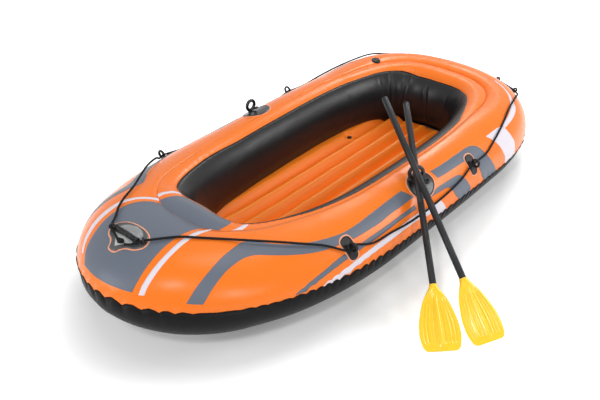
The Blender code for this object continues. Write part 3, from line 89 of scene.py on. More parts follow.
@dataclass
class Shell:
    """Grids of points gathered for one piece, each laid out in rows and columns."""

    points: list[Array] = field(default_factory=list)
    faces: list[Array] = field(default_factory=list)
    corners: list[Array] = field(default_factory=list)
    count: int = 0

    def grid(self, points: Array, rows_meet: bool = False, columns_meet: bool = False,
             uv: Array | None = None) -> "Shell":
        """Add a grid; a quad joins each point to its neighbours in the next row and column.

        Args:
            points: an array of rows by columns by x, y and z.
            rows_meet: the last row joins the first.
            columns_meet: the last column joins the first.
            uv: one more row and column of u and v than there are quads, if it matters.

        Returns:
            The same shell, to chain calls.
        """
        rows, columns = points.shape[:2]
        r = np.arange(rows if rows_meet else rows - 1)[:, None]
        c = np.arange(columns if columns_meet else columns - 1)[None, :]
        r1, c1 = (r + 1) % rows, (c + 1) % columns
        quads = np.stack([r * columns + c, r * columns + c1, r1 * columns + c1, r1 * columns + c], -1)
        if uv is None:
            v, u = np.meshgrid(np.linspace(0, 1, len(r) + 1), np.linspace(0, 1, c.size + 1), indexing="ij")
            uv = np.stack([u, v], -1)
        corner = np.stack([uv[:-1, :-1], uv[:-1, 1:], uv[1:, 1:], uv[1:, :-1]], 2)
        self.points.append(points.reshape(-1, 3))
        self.faces.append(quads.reshape(-1, 4) + self.count)
        self.corners.append(corner.reshape(-1, 2))
        self.count += rows * columns
        return self

    def turned(self, profile: Points, frame_: Array, sides: int = 48) -> "Shell":
        """Add a solid of revolution: each (radius, height) of the profile goes round Z.

        Args:
            profile: radii and heights, from pole to pole or round a closed ring.
            frame_: the 4 by 4 place.
            sides: steps round.

        Returns:
            The same shell.
        """
        radius, height = np.array(profile, float).T
        turn = np.arange(sides) / sides * FULL_TURN
        local = np.stack([
            radius[:, None] * np.cos(turn), radius[:, None] * np.sin(turn),
            np.broadcast_to(height[:, None], (len(radius), sides))], -1)
        closed = radius[0] > 1e-6 and radius[-1] > 1e-6
        return self.grid(moved(local, frame_), rows_meet=closed, columns_meet=True)

    def tube(self, path: Array, radius: Array | float, sides: int = 16,
             closed: bool = False, squash: float = 1.0) -> "Shell":
        """Add a round tube: circles square to a path, their up side kept toward world Z.

        Args:
            path: the points of its middle line.
            radius: one radius, or one for each point.
            sides: steps round.
            closed: the path is a loop.
            squash: thickness across, as a share of that along Z.

        Returns:
            The same shell.
        """
        along = np.roll(path, -1, 0) - np.roll(path, 1, 0) if closed else np.gradient(path, axis=0)
        along /= np.linalg.norm(along, axis=1, keepdims=True)
        across = np.cross(along, reference_for(along))
        across /= np.linalg.norm(across, axis=1, keepdims=True)
        up = np.cross(across, along)
        turn = np.arange(sides) / sides * FULL_TURN
        reach = np.broadcast_to(np.asarray(radius, float), (len(path),))[:, None, None]
        ring = path[:, None] + reach * (
            across[:, None] * np.cos(turn)[:, None] * squash + up[:, None] * np.sin(turn)[:, None])
        if not closed:
            first = np.broadcast_to(path[0], (1, sides, 3))
            last = np.broadcast_to(path[-1], (1, sides, 3))
            ring = np.concatenate([first, ring, last])
        return self.grid(ring, rows_meet=closed, columns_meet=True)

    def piece(self, name: str, finish: "Finish", body: str, slot: Slot,
              replaces: tuple[str, ...] = (), smooth: bool = True) -> bpy.types.Object:
        """Make the piece: merge what meets, turn faces outward, dress it and let it ride.

        Args:
            name: the piece's name.
            finish: its material.
            body: the CAD body that it moves with.
            slot: the record's slot; not used.
            replaces: the CAD nodes that it stands for.
            smooth: shade it smooth.

        Returns:
            The object.
        """
        points = np.concatenate(self.points)
        faces = np.concatenate(self.faces)
        mesh = bpy.data.meshes.new(name)
        mesh.vertices.add(len(points))
        mesh.vertices.foreach_set("co", points.astype(np.float32).ravel())
        mesh.loops.add(faces.size)
        mesh.loops.foreach_set("vertex_index", faces.astype(np.int32).ravel())
        mesh.polygons.add(len(faces))
        mesh.polygons.foreach_set("loop_start", np.arange(len(faces), dtype=np.int32) * 4)
        mesh.uv_layers.new(name="along").data.foreach_set(
            "uv", np.concatenate(self.corners).astype(np.float32).ravel())
        mesh.update(calc_edges=True)
        work = bmesh.new()
        work.from_mesh(mesh)
        bmesh.ops.remove_doubles(work, verts=work.verts[:], dist=2e-6)
        bmesh.ops.dissolve_degenerate(work, edges=work.edges[:], dist=1e-7)
        bmesh.ops.recalc_face_normals(work, faces=work.faces[:])
        work.to_mesh(mesh)
        work.free()
        mesh.polygons.foreach_set("use_smooth", np.full(len(mesh.polygons), smooth))
        mesh.materials.append(finish.material())
        made = bpy.data.objects.new(name, mesh)
        bpy.context.scene.collection.objects.link(made)
        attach(made, body)
        if replaces:
            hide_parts(*replaces)
        log.info("%s: %d faces, rides on %s", name, len(mesh.polygons), body)
        return made


def moved(points: Array, place: Array) -> Array:
    """Carry points of any grid shape by a 4 by 4 place."""
    return points @ place[:3, :3].T + place[:3, 3]


def placed(point: Array, x: Array, z: Array) -> Array:
    """Build a 4 by 4 place at a point from its Z axis and the heading its X axis leans to."""
    z = np.asarray(z, float) / np.linalg.norm(z)
    x = np.asarray(x, float) - z * np.dot(x, z)
    x /= np.linalg.norm(x)
    place = np.eye(4)
    place[:3, 0], place[:3, 1], place[:3, 2], place[:3, 3] = x, np.cross(z, x), z, point
    return place


def reference_for(along: Array) -> Array:
    """Choose a fixed direction that a path is never close to: Z, or Y where it runs upright."""
    steep = np.abs(along[:, 2]).max() > 0.97
    return np.array([0.0, 1.0, 0.0]) if steep else np.array([0.0, 0.0, 1.0])


def smooth_step(value: Array) -> Array:
    """Rise from 0 to 1 as 3 v squared less 2 v cubed, flat at both ends."""
    value = np.clip(value, 0.0, 1.0)
    return value * value * (3 - 2 * value)


def cubic(a: Array, b: Array, c: Array, d: Array, t: Array) -> Array:
    """Run from b to c at shares t of the way, on a curve that takes its slopes from a and d too."""
    return 0.5 * (2 * b + (c - a) * t + (2 * a - 5 * b + 4 * c - d) * t ** 2
                  + (3 * b - a - 3 * c + d) * t ** 3)


def curve_through(points: Array, step: float, closed: bool = False) -> Array:
    """Run a smooth curve through points, each span a cubic that takes its slopes from its neighbours.

    Args:
        points: the points it passes through, with any number of coordinates.
        step: about how far apart the samples are, in the points' own units.
        closed: join the last to the first.

    Returns:
        The samples.
    """
    points = np.asarray(points, float)
    count = len(points)
    if closed:
        around = points[np.arange(-1, count + 2) % count]
    else:
        around = np.concatenate([[2 * points[0] - points[1]], points, [2 * points[-1] - points[-2]]])
    a, b, c, d = around[:-3], around[1:-2], around[2:-1], around[3:]
    samples = 24
    t = (np.arange(samples) / samples)[None, :, None]
    a, b, c, d = (v[:, None, :] for v in (a, b, c, d))
    line = cubic(a, b, c, d, t).reshape(-1, points.shape[1])
    line = np.concatenate([line, points[:1] if closed else points[-1:]])
    travel = np.concatenate([[0], np.cumsum(np.linalg.norm(np.diff(line, axis=0), axis=1))])
    rows = max(int(round(travel[-1] / step)), 2)
    even = np.linspace(0, travel[-1], rows + 1)
    out = np.stack([np.interp(even, travel, column) for column in line.T], -1)
    return out[:-1] if closed else out


# ---------------------------------------------------------------- finishes


def linked(tree: bpy.types.NodeTree, kind: str, **values: object) -> bpy.types.Node:
    """Add a node and set its properties and inputs: names with a leading 'in_' are inputs by number."""
    node = tree.nodes.new(kind)
    for name, value in values.items():
        if name.startswith("in_"):
            socket = node.inputs[int(name[3:])]
            if isinstance(value, bpy.types.NodeSocket):
                tree.links.new(value, socket)
            else:
                socket.default_value = value
        else:
            setattr(node, name, value)
    return node


def new_group(name: str, inputs: tuple[tuple[str, str, object], ...],
              outputs: tuple[tuple[str, str], ...]) -> tuple[bpy.types.NodeTree, bpy.types.Node,
                                                             bpy.types.Node]:
    """Start a node group.

    Args:
        name: its name.
        inputs: each input's name, socket kind and default.
        outputs: each output's name and socket kind.

    Returns:
        The group, its input node and its output node.
    """
    group = bpy.data.node_groups.new(name, "ShaderNodeTree")
    for label, kind, default in inputs:
        socket = group.interface.new_socket(name=label, in_out="INPUT", socket_type=kind)
        socket.default_value = default
    for label, kind in outputs:
        group.interface.new_socket(name=label, in_out="OUTPUT", socket_type=kind)
    return group, group.nodes.new("NodeGroupInput"), group.nodes.new("NodeGroupOutput")


@dataclass(frozen=True)
class Texture:
    """The scales of a surface's effects, per metre, and their bump heights in metres."""

    name: str
    grain: float
    cells: float
    wave: float
    broad: float
    grain_height: float
    wave_height: float

    def group(self) -> bpy.types.NodeTree:
        """Make the node group, or give the one already made.

        Roughness = its base + 0.12 * noise; the colour scales with 0.97 + Tint * noise; the bump is
        the fine grain's height (noise, with the distance in small cells) plus the slow waves' height.
        """
        if self.name in bpy.data.node_groups:
            return bpy.data.node_groups[self.name]
        group, given, result = new_group(
            self.name,
            (("Colour", "NodeSocketColor", (1, 1, 1, 1)), ("Roughness", "NodeSocketFloat", 0.3),
             ("Grain", "NodeSocketFloat", 0.3), ("Ripple", "NodeSocketFloat", 0.3),
             ("Tint", "NodeSocketFloat", 0.1)),
            (("Colour", "NodeSocketColor"), ("Roughness", "NodeSocketFloat"), ("Normal", "NodeSocketVector")))
        place = linked(group, "ShaderNodeTexCoord").outputs["Object"]
        grain = linked(group, "ShaderNodeTexNoise", in_0=place, in_2=self.grain, in_3=2.0)
        cells = linked(group, "ShaderNodeTexVoronoi", in_0=place, in_2=self.cells)
        wave = linked(group, "ShaderNodeTexNoise", in_0=place, in_2=self.wave, in_3=2.0)
        broad = linked(group, "ShaderNodeTexNoise", in_0=place, in_2=self.broad, in_3=3.0)
        both = linked(group, "ShaderNodeMath", operation="ADD", in_0=grain.outputs["Fac"],
                      in_1=cells.outputs["Distance"])
        fine = linked(group, "ShaderNodeBump", in_0=given.outputs["Grain"], in_1=self.grain_height)
        group.links.new(both.outputs[0], fine.inputs["Height"])
        slack = linked(group, "ShaderNodeBump", in_0=given.outputs["Ripple"], in_1=self.wave_height)
        group.links.new(wave.outputs["Fac"], slack.inputs["Height"])
        group.links.new(fine.outputs["Normal"], slack.inputs["Normal"])
        rough = linked(group, "ShaderNodeMath", operation="MULTIPLY_ADD", in_0=broad.outputs["Fac"],
                       in_1=0.12,
                       in_2=given.outputs["Roughness"])
        shade = linked(group, "ShaderNodeMath", operation="MULTIPLY_ADD", in_0=broad.outputs["Fac"],
                       in_1=given.outputs["Tint"], in_2=0.97)
        tint = linked(group, "ShaderNodeVectorMath", operation="SCALE", in_0=given.outputs["Colour"])
        group.links.new(shade.outputs[0], tint.inputs["Scale"])
        group.links.new(tint.outputs[0], result.inputs["Colour"])
        group.links.new(rough.outputs[0], result.inputs["Roughness"])
        group.links.new(slack.outputs["Normal"], result.inputs["Normal"])
        return group


CALENDERED = Texture("calendered_sheet", 1500.0, 900.0, 13.0, 5.0, 0.0004, 0.010)
MOULDED = Texture("moulded_surface", 2600.0, 1900.0, 60.0, 25.0, 0.0003, 0.001)


def laid_group() -> bpy.types.NodeTree:
    """Yarns of a laid cord: height = the sine of (Yarns * v + Turns * u) round the full turn.

    u runs along the cord in metres and v once round it.
    """
    name = "laid_yarns"
    if name in bpy.data.node_groups:
        return bpy.data.node_groups[name]
    group, given, result = new_group(
        name,
        (("Colour", "NodeSocketColor", (1, 1, 1, 1)), ("Turns", "NodeSocketFloat", 400.0),
         ("Yarns", "NodeSocketFloat", 9.0), ("Depth", "NodeSocketFloat", 0.5)),
        (("Colour", "NodeSocketColor"), ("Normal", "NodeSocketVector")))
    lay = linked(group, "ShaderNodeSeparateXYZ",
                 in_0=linked(group, "ShaderNodeUVMap", uv_map="along").outputs[0])
    one = linked(group, "ShaderNodeMath", operation="MULTIPLY", in_0=lay.outputs["X"],
                 in_1=given.outputs["Turns"])
    two = linked(group, "ShaderNodeMath", operation="MULTIPLY_ADD", in_0=lay.outputs["Y"],
                 in_1=given.outputs["Yarns"], in_2=one.outputs[0])
    full = linked(group, "ShaderNodeMath", operation="MULTIPLY", in_0=two.outputs[0], in_1=FULL_TURN)
    wave = linked(group, "ShaderNodeMath", operation="SINE", in_0=full.outputs[0])
    fuzz = linked(group, "ShaderNodeTexNoise", in_2=2200.0, in_3=2.0,
                  in_0=linked(group, "ShaderNodeTexCoord").outputs["Object"])
    height = linked(group, "ShaderNodeMath", operation="MULTIPLY_ADD", in_0=wave.outputs[0], in_1=0.5,
                    in_2=fuzz.outputs["Fac"])
    bump = linked(group, "ShaderNodeBump", in_0=given.outputs["Depth"], in_1=0.0006)
    group.links.new(height.outputs[0], bump.inputs["Height"])
    # Painted shade: the colour follows the yarns' height, darker in the grooves between the yarns and lighter on
    # their crowns; the fuzz noise adds random tone.
    shade = linked(group, "ShaderNodeMath", operation="MULTIPLY_ADD", in_0=height.outputs[0], in_1=0.35,
                   in_2=0.75)
    tint = linked(group, "ShaderNodeVectorMath", operation="SCALE", in_0=given.outputs["Colour"])
    group.links.new(shade.outputs[0], tint.inputs["Scale"])
    group.links.new(tint.outputs[0], result.inputs["Colour"])
    group.links.new(bump.outputs["Normal"], result.inputs["Normal"])
    return group


@dataclass(frozen=True)
class Finish:
    """A material: its colour, its gloss, and how strongly its group's effects show."""

    name: str
    colour: tuple[float, float, float]
    roughness: float
    grain: float = 0.2
    ripple: float = 0.2
    tint: float = 0.08
    coat: float = 0.0
    coat_roughness: float = 0.1
    specular: float = 0.5

    def material(self) -> bpy.types.Material:
        """Make the material, or give the one already made."""
        if self.name in bpy.data.materials:
            return bpy.data.materials[self.name]
        made = bpy.data.materials.new(self.name)
        made.use_nodes = True
        made.diffuse_color = (*self.colour, 1)
        shader = made.node_tree.nodes["Principled BSDF"]
        shader.inputs["Coat Weight"].default_value = self.coat
        shader.inputs["Coat Roughness"].default_value = self.coat_roughness
        shader.inputs["Specular IOR Level"].default_value = self.specular
        self.dress(made.node_tree, shader)
        return made

    def dress(self, tree: bpy.types.NodeTree, shader: bpy.types.Node) -> None:
        """Wire the finish's group into the shader."""
        raise NotImplementedError

    def wire(self, tree: bpy.types.NodeTree, shader: bpy.types.Node, group: bpy.types.NodeTree,
             values: dict[str, object]) -> None:
        """Add a group, set its inputs and link its outputs of the same name to the shader."""
        node = tree.nodes.new("ShaderNodeGroup")
        node.node_tree = group
        for name, value in values.items():
            node.inputs[name].default_value = value
        for output, target in (("Colour", "Base Color"), ("Roughness", "Roughness"), ("Normal", "Normal")):
            if output in node.outputs:
                tree.links.new(node.outputs[output], shader.inputs[target])


@dataclass(frozen=True)
class SheetFinish(Finish):
    """Flexible sheet, with a leathery grain, slack ripples and an uneven tint."""

    texture: Texture = CALENDERED

    def dress(self, tree: bpy.types.NodeTree, shader: bpy.types.Node) -> None:
        """Wire the texture's group with the finish's values."""
        self.wire(tree, shader, self.texture.group(), {
            "Colour": (*self.colour, 1), "Roughness": self.roughness, "Grain": self.grain,
            "Ripple": self.ripple, "Tint": self.tint})


@dataclass(frozen=True)
class MouldedFinish(SheetFinish):
    """Moulded rubber or plastic, with a spark-eroded mould's fine grain and flow marks."""

    texture: Texture = MOULDED


@dataclass(frozen=True)
class CordFinish(Finish):
    """Laid cord."""

    turns: float = 90.0
    yarns: float = 9.0

    def dress(self, tree: bpy.types.NodeTree, shader: bpy.types.Node) -> None:
        """Yarn ridges along the lay."""
        shader.inputs["Roughness"].default_value = self.roughness
        self.wire(tree, shader, laid_group(), {
            "Colour": (*self.colour, 1), "Turns": self.turns, "Yarns": self.yarns, "Depth": self.grain})


ORANGE = SheetFinish("orange_sheet", (0.94, 0.198, 0.013), 0.22, grain=0.10, ripple=0.08, tint=0.05,
                     specular=0.26)
FLOOR_ORANGE = SheetFinish(
    "floor_sheet", (0.95, 0.225, 0.014), 0.36, grain=0.15, ripple=0.12, tint=0.06, specular=0.28)
BLACK = SheetFinish("black_sheet", (0.0080, 0.0080, 0.0088), 0.36, grain=0.15, ripple=0.18, tint=0.10,
                    specular=0.09)
BLACK_WALL = SheetFinish(
    "black_wall_sheet", (0.0095, 0.0098, 0.0110), 0.28, grain=0.10, ripple=0.16, tint=0.10, specular=0.30)
GREY_PRINT = SheetFinish("grey_print", (0.128, 0.150, 0.190), 0.33, grain=0.12, ripple=0.10, tint=0.05,
                         specular=0.28)
WHITE_PRINT = SheetFinish("white_print", (0.77, 0.72, 0.79), 0.33, grain=0.12, ripple=0.10, tint=0.04,
                          specular=0.25)
# Lighter pink for the thin ring round each patch: a painted highlight rim, not the sheet's own colour.
PAINTED_LIGHT_HALO = SheetFinish("patch_margin", (0.95, 0.38, 0.220), 0.30, grain=0.12, ripple=0.10, tint=0.05,
                         specular=0.3)
RUBBER = MouldedFinish("moulded_rubber", (0.0085, 0.0085, 0.0090), 0.36, grain=0.20, ripple=0.25, tint=0.15,
                       specular=0.25)
SOCKET_RUBBER = MouldedFinish("glossy_rubber", (0.0085, 0.0085, 0.0095), 0.22, grain=0.08, ripple=0.30,
                              tint=0.15,
                              specular=0.40)
SMOKE = MouldedFinish("smoked_patch", (0.070, 0.072, 0.076), 0.20, grain=0.05, ripple=0.12, tint=0.12)
# Pale grey that stands in for reflections on the glossy smoked bow patch: a painted reflection, not the patch's own
# colour.
SMOKE_PAINTED_REFLECTION = MouldedFinish("smoked_painted_reflection", (0.50, 0.51, 0.51), 0.22, grain=0.05, ripple=0.12, tint=0.12)
SMOKE_DOME = MouldedFinish("smoked_dome", (0.215, 0.220, 0.225), 0.20, grain=0.05, ripple=0.30, tint=0.20)
ROPE = CordFinish("black_cord", (0.0090, 0.0090, 0.0100), 0.85, grain=0.45, specular=0.2)
SHAFT = MouldedFinish("charcoal_tube", (0.012, 0.013, 0.0145), 0.28, grain=0.08, ripple=0.10, tint=0.12,
                      specular=0.26)
CAP = MouldedFinish("tube_cap", (0.014, 0.0145, 0.016), 0.38, grain=0.15, ripple=0.15, tint=0.12,
                    specular=0.3)
BLADE = MouldedFinish("yellow_blade", (0.98, 0.64, 0.020), 0.20, grain=0.04, ripple=0.18, tint=0.05,
                      coat=0.20,
                      coat_roughness=0.08, specular=0.35)


# ---------------------------------------------------------------- the hull's form


@dataclass(frozen=True)
class Outline:
    """A closed outline seen from above.

    A point is inside where |x / half beam| ** side + |y / half length| ** end is below one.
    """

    length: float
    beam: float
    shift: float
    bow: float
    stern: float
    side: float
    taper: float

    def level(self, x: Array, y: Array) -> Array:
        """Tell inside from outside.

        Args:
            x: distances to port.
            y: distances toward the stern.

        Returns:
            Values below zero inside the outline and above zero outside it.
        """
        along = (y - self.shift) / (self.length / 2)
        end = np.where(along < 0, self.bow, self.stern)
        beam = self.beam / 2 * (1 + self.taper * np.clip(along, -1, 1))
        return np.abs(x / beam) ** self.side + np.abs(along) ** end - 1

    def reach(self, x: Array, y: Array, step_x: Array, step_y: Array, limit: float) -> Array:
        """Find how far the outline is from points along directions, by halving the interval.

        Args:
            x: start points' distances to port.
            y: start points' distances toward the stern.
            step_x: the directions' port shares.
            step_y: the directions' stern shares.
            limit: the furthest distance looked at.

        Returns:
            The distances.
        """
        inside = self.level(x, y) < 0
        near = np.zeros_like(x)
        far = np.full_like(x, limit)
        for _ in range(48):
            middle = (near + far) / 2
            same = (self.level(x + step_x * middle, y + step_y * middle) < 0) == inside
            near = np.where(same, middle, near)
            far = np.where(same, far, middle)
        return near


@dataclass(frozen=True)
class Gathers:
    """The puckers that a welded seam draws into the sheets beside it.

    The wave is |sin| of the share of the way round times the count, less its mean, so rounded
    swells meet in sharp pinches. It fades as exp(-(distance / reach) squared).
    """

    count: float = 62.0
    depth: float = 0.0036
    slip: float = 0.0150
    reach: float = 0.026

    def wave(self, s: Array) -> Array:
        """Give the pucker's height, from -0.64 in a pinch to 0.36 on a swell."""
        wander = 0.9 * np.sin(FULL_TURN * 9 * s) + 0.6 * np.sin(FULL_TURN * 23 * s + 1.1)
        small = 0.10 * np.abs(np.sin(FULL_TURN * (2.5 * self.count) * s + 2 * wander))
        return np.abs(np.sin(FULL_TURN * self.count * s + wander)) + small - 0.70

    def strength(self, s: Array) -> Array:
        """Say how hard the seam is drawn in: most round the bow and the stern."""
        beat = 0.16 * np.sin(FULL_TURN * 13 * s + 0.6) + 0.12 * np.sin(FULL_TURN * 31 * s)
        slack = np.exp(-((s - 0.075) / 0.035) ** 4) + np.exp(-((s - 0.925) / 0.035) ** 4)
        return np.clip(0.90 + beat - 0.70 * slack, 0.12, 1.1)


@dataclass(frozen=True)
class Fold:
    """A crease across the cockpit's wall: a sharp valley with a swell on each side."""

    s: float
    depth: float
    width: float
    slant: float
    low: float
    high: float

    def height(self, s: Array, angle: Array) -> Array:
        """Work out the fold's height: swells less a valley, faded at both ends of its angles.

        Args:
            s: shares of the way round the boat.
            angle: angles round the inner lobe.

        Returns:
            Heights in metres.
        """
        away = (s - self.s - self.slant * angle) / self.width
        shape = 0.55 * np.exp(-(away / 2.6) ** 2) - np.exp(-np.abs(away) ** 1.4)
        ends = smooth_step((angle - self.low) / 0.35) * smooth_step((self.high - angle) / 0.22)
        return self.depth * shape * ends


@dataclass
class HullForm:
    """The inflated hull as a surface of two parameters.

    s runs once round the boat, 0 at the bow, 0.25 to port and 0.5 at the stern. The angle runs
    round a lobe of the tubes' section: 0 points level outward on the outer lobe, and level into
    the cockpit on the inner one.
    """

    length: float = 2.46
    beam: float = 1.14
    cockpit_length: float = 1.652
    cockpit_beam: float = 0.684
    cockpit_shift: float = 0.10
    tube_height: float = 0.344
    bow_growth: float = 0.030
    bow_rise: float = 0.07
    bow_rise_start: float = 0.20
    bow_rise_power: float = 1.5
    wall_overhang: float = 0.075
    seam_bow: float = math.radians(11)
    seam_stern: float = math.radians(-11)
    crease_side: float = 0.045
    crease_bow: float = 0.115
    crease_stern: float = 0.095
    crease_depth_bow: float = 0.018
    crease_depth_stern: float = 0.016
    stations: int = 64
    softening: int = 5
    gathers: Gathers = Gathers()
    folds: tuple[Fold, ...] = (
        Fold(0.5835, 0.0090, 0.0030, -0.001, -0.55, 1.12), Fold(0.5545, 0.0060, 0.0030, -0.008, -0.5, 1.0),
        Fold(0.5035, 0.0080, 0.0026, 0.011, -0.7, 0.72), Fold(0.4290, 0.0060, 0.0030, -0.008, 0.1, 1.05),
        Fold(0.6035, 0.0030, 0.0028, 0.001, -0.3, 0.9), Fold(0.4640, 0.0026, 0.0040, 0.004, -0.4, 0.8),
        Fold(0.3950, 0.0030, 0.0035, 0.008, -0.4, 0.95), Fold(0.6550, 0.0024, 0.0040, 0.004, -0.4, 0.8),
        Fold(0.0620, 0.0022, 0.0035, 0.006, -0.6, 0.9), Fold(0.9380, 0.0022, 0.0035, -0.006, -0.6, 0.9))
    rim_line: Points = (
        (0, 68), (0.05, 68), (0.10, 76), (0.14, 84), (0.20, 87), (0.30, 87), (0.35, 83), (0.38, 74),
        (0.41, 67),
        (0.44, 59), (0.48, 55), (0.53, 54), (0.56, 62), (0.60, 66), (0.65, 64), (0.75, 63), (0.81, 63),
        (0.85, 67), (0.93, 66), (1, 68))
    table: Array = field(init=False, repr=False)

    def __post_init__(self) -> None:
        """Work out the table of sections."""
        self.table = self._sections()

    def bow_share(self, y: Array) -> Array:
        """Give 0 where the bow starts to rise and 1 at its tip."""
        share = (-y - self.bow_rise_start) / (self.length / 2 - self.bow_rise_start)
        return np.maximum(share, 0.0) ** self.bow_rise_power

    def rise(self, y: Array) -> Array:
        """Say how far the tubes are lifted off the ground."""
        return self.bow_rise * self.bow_share(y)

    def _sections(self) -> Array:
        """Lay out the sections at equal steps along the middle of the tubes.

        Returns:
            One row per station: edge x and y, inward x and y, outer and inner radius, inner
            centre, half height, crease angle, rim angle, seam angle and crease distance.
        """
        outer = Outline(self.length, self.beam, 0.0, 3.2, 6.0, 1.9, 0.03)
        rim = Outline(self.cockpit_length, self.cockpit_beam, self.cockpit_shift, 3.0, 2.6, 3.2, 0.057)
        spine = Outline(
            (outer.length + rim.length) / 2, (outer.beam + rim.beam) / 2, rim.shift / 2,
            (outer.bow + rim.bow) / 2, (outer.stern + rim.stern) / 2,
            (outer.side + rim.side) / 2, (outer.taper + rim.taper) / 2)
        turn = np.linspace(0, FULL_TURN, 1441)
        way = np.stack([np.sin(turn), -np.cos(turn)])
        zero = np.zeros_like(turn)
        reach = spine.reach(zero, zero + spine.shift, way[0], way[1], 1.6)
        line = np.stack([way[0] * reach, spine.shift + way[1] * reach])
        travel = np.concatenate([[0], np.cumsum(np.hypot(*np.diff(line, axis=1)))])
        even = np.arange(self.stations) / self.stations * travel[-1]
        x = np.interp(even, travel, line[0])
        y = np.interp(even, travel, line[1])
        inward = np.stack([np.roll(y, 1) - np.roll(y, -1), np.roll(x, -1) - np.roll(x, 1)])
        inward /= np.hypot(*inward)
        for _ in range(self.softening):
            inward = inward + np.roll(inward, 1, axis=1) + np.roll(inward, -1, axis=1)
            inward /= np.hypot(*inward)
        limit = self.beam / 2
        out = outer.reach(x, y, -inward[0], -inward[1], limit)
        into = rim.reach(x, y, inward[0], inward[1], limit)
        edge_x = x - inward[0] * out
        edge_y = y - inward[1] * out
        deck = out + into
        end = smooth_step((np.abs(edge_y) / (self.length / 2) - 0.45) / 0.5)
        at_bow = edge_y < 0
        far = np.where(at_bow, self.crease_bow, self.crease_stern)
        at_tip = smooth_step((np.abs(edge_y) / (self.length / 2) - 0.70) / 0.28)
        depth = np.where(at_bow, self.crease_depth_bow * at_tip, self.crease_depth_stern * end)
        half_height = (self.tube_height + self.bow_growth * self.bow_share(edge_y)) / 2
        crease = deck - (self.crease_side + (far - self.crease_side) * end)
        width = deck + self.wall_overhang
        overlap = np.sqrt(1 - (1 - depth / half_height) ** 2)
        outer_radius = crease / (1 + overlap)
        inner_radius = (width - crease) / (1 + overlap)
        inner_centre = width - inner_radius
        crease_angle = np.pi / 2 + np.arcsin(overlap)
        shares, degrees = np.array(self.rim_line).T
        rim_angle = np.radians(np.interp(even / travel[-1], shares, degrees))
        seam = self.seam_bow + (self.seam_stern - self.seam_bow) * (1 + edge_y / (self.length / 2)) / 2
        return np.stack([
            edge_x, edge_y, inward[0], inward[1], outer_radius, inner_radius, inner_centre,
            half_height, crease_angle, rim_angle, seam, crease], axis=1)

    def at(self, s: Array) -> Array:
        """Read the section table between its stations, on smooth curves through them.

        Args:
            s: shares of the way round the boat, of any shape.

        Returns:
            The table's columns in a new last axis.
        """
        place = np.mod(s, 1.0) * self.stations
        first = np.floor(place).astype(int)
        t = (place - first)[..., None]
        a, b, c, d = (self.table[np.mod(first + k, self.stations)] for k in (-1, 0, 1, 2))
        values = cubic(a, b, c, d, t)
        size = np.hypot(values[..., 2], values[..., 3])[..., None]
        values[..., 2:4] /= size
        return values

    def skin(self, s: Array, angle: Array, lobe: Lobe, grow: Array | float = 0.0,
             puckered: bool = False) -> Array:
        """Give points of the tubes' skin.

        A lobe's section is an ellipse; a point is its middle plus (radius * cos, half height *
        sin) of the angle, moved along the ellipse's normal by grow, laid from the outer edge
        inward, and lifted with the bow.

        Args:
            s: shares of the way round the boat.
            angle: angles round the lobe, in radians.
            lobe: which lobe.
            grow: how far off the skin, in metres.
            puckered: draw in the gathers beside the seam and the folds of the cockpit's wall.

        Returns:
            Points, with x, y and z in a new last axis.
        """
        s, angle, grow = np.broadcast_arrays(*(np.asarray(v, float) for v in (s, angle, grow)))
        row = self.at(s)
        radius = row[..., INNER_RADIUS] if lobe is Lobe.INNER else row[..., OUTER_RADIUS]
        height = row[..., HALF_HEIGHT]
        if puckered and lobe is Lobe.OUTER:
            speed = np.hypot(radius * np.sin(angle), height * np.cos(angle))
            arc = (angle - row[..., SEAM_ANGLE]) * speed
            pull = self.gathers.wave(s) * self.gathers.strength(np.mod(s, 1.0))
            pull = pull * np.exp(-(arc / self.gathers.reach) ** 2)
            grow = grow + self.gathers.depth * pull
            angle = angle + self.gathers.slip * pull / speed
        if puckered and lobe is Lobe.INNER:
            grow = grow + sum(fold.height(np.mod(s, 1.0), angle) for fold in self.folds)
            rim = (angle - row[..., RIM_ANGLE]) * radius
            ruffle = np.abs(np.sin(FULL_TURN * 64 * s + 0.8 * np.sin(FULL_TURN * 11 * s))) - 0.64
            grow = grow + 0.0010 * ruffle * np.exp(-(rim / 0.014) ** 2)
        slope = np.stack([np.cos(angle) / radius, np.sin(angle) / height])
        slope /= np.hypot(*slope)
        across = np.cos(angle) * radius + grow * slope[0]
        up = height + np.sin(angle) * height + grow * slope[1]
        inward = row[..., INNER_CENTRE] + across if lobe is Lobe.INNER else row[..., OUTER_RADIUS] - across
        x = row[..., 0] + row[..., 2] * inward
        y = row[..., 1] + row[..., 3] * inward
        return np.stack([x, y, up + self.rise(y)], axis=-1)

    def tangents(self, s: Array, angle: Array, lobe: Lobe) -> tuple[Array, Array, Array]:
        """Find the skin's two tangents per unit of each parameter, and its outward normal."""
        small = 1e-4
        along = (self.skin(s + small, angle, lobe) - self.skin(s - small, angle, lobe)) / (2 * small)
        round_ = (self.skin(s, angle + small, lobe) - self.skin(s, angle - small, lobe)) / (2 * small)
        normal = np.cross(along, round_)
        normal /= np.linalg.norm(normal, axis=-1, keepdims=True)
        outward = self.skin(s, angle, lobe, 0.01) - self.skin(s, angle, lobe)
        return along, round_, normal * np.sign((normal * outward).sum(-1, keepdims=True))

    def nearest(self, point: Array, lobe: Lobe) -> tuple[float, float]:
        """Find the parameters of the skin nearest to a point, by steps in the tangent plane."""
        grid_s, grid_a = np.meshgrid(np.linspace(0, 1, 96, endpoint=False), np.linspace(-1.9, 2.2, 40))
        cloud = self.skin(grid_s, grid_a, lobe)
        best = np.argmin(((cloud - point) ** 2).sum(-1))
        s, angle = grid_s.ravel()[best], grid_a.ravel()[best]
        for _ in range(12):
            along, round_, _ = self.tangents(s, angle, lobe)
            off = point - self.skin(s, angle, lobe)
            step = np.linalg.lstsq(np.stack([along, round_], -1), off, rcond=None)[0]
            s, angle = s + 0.9 * step[0], angle + 0.9 * step[1]
        return float(s), float(angle)

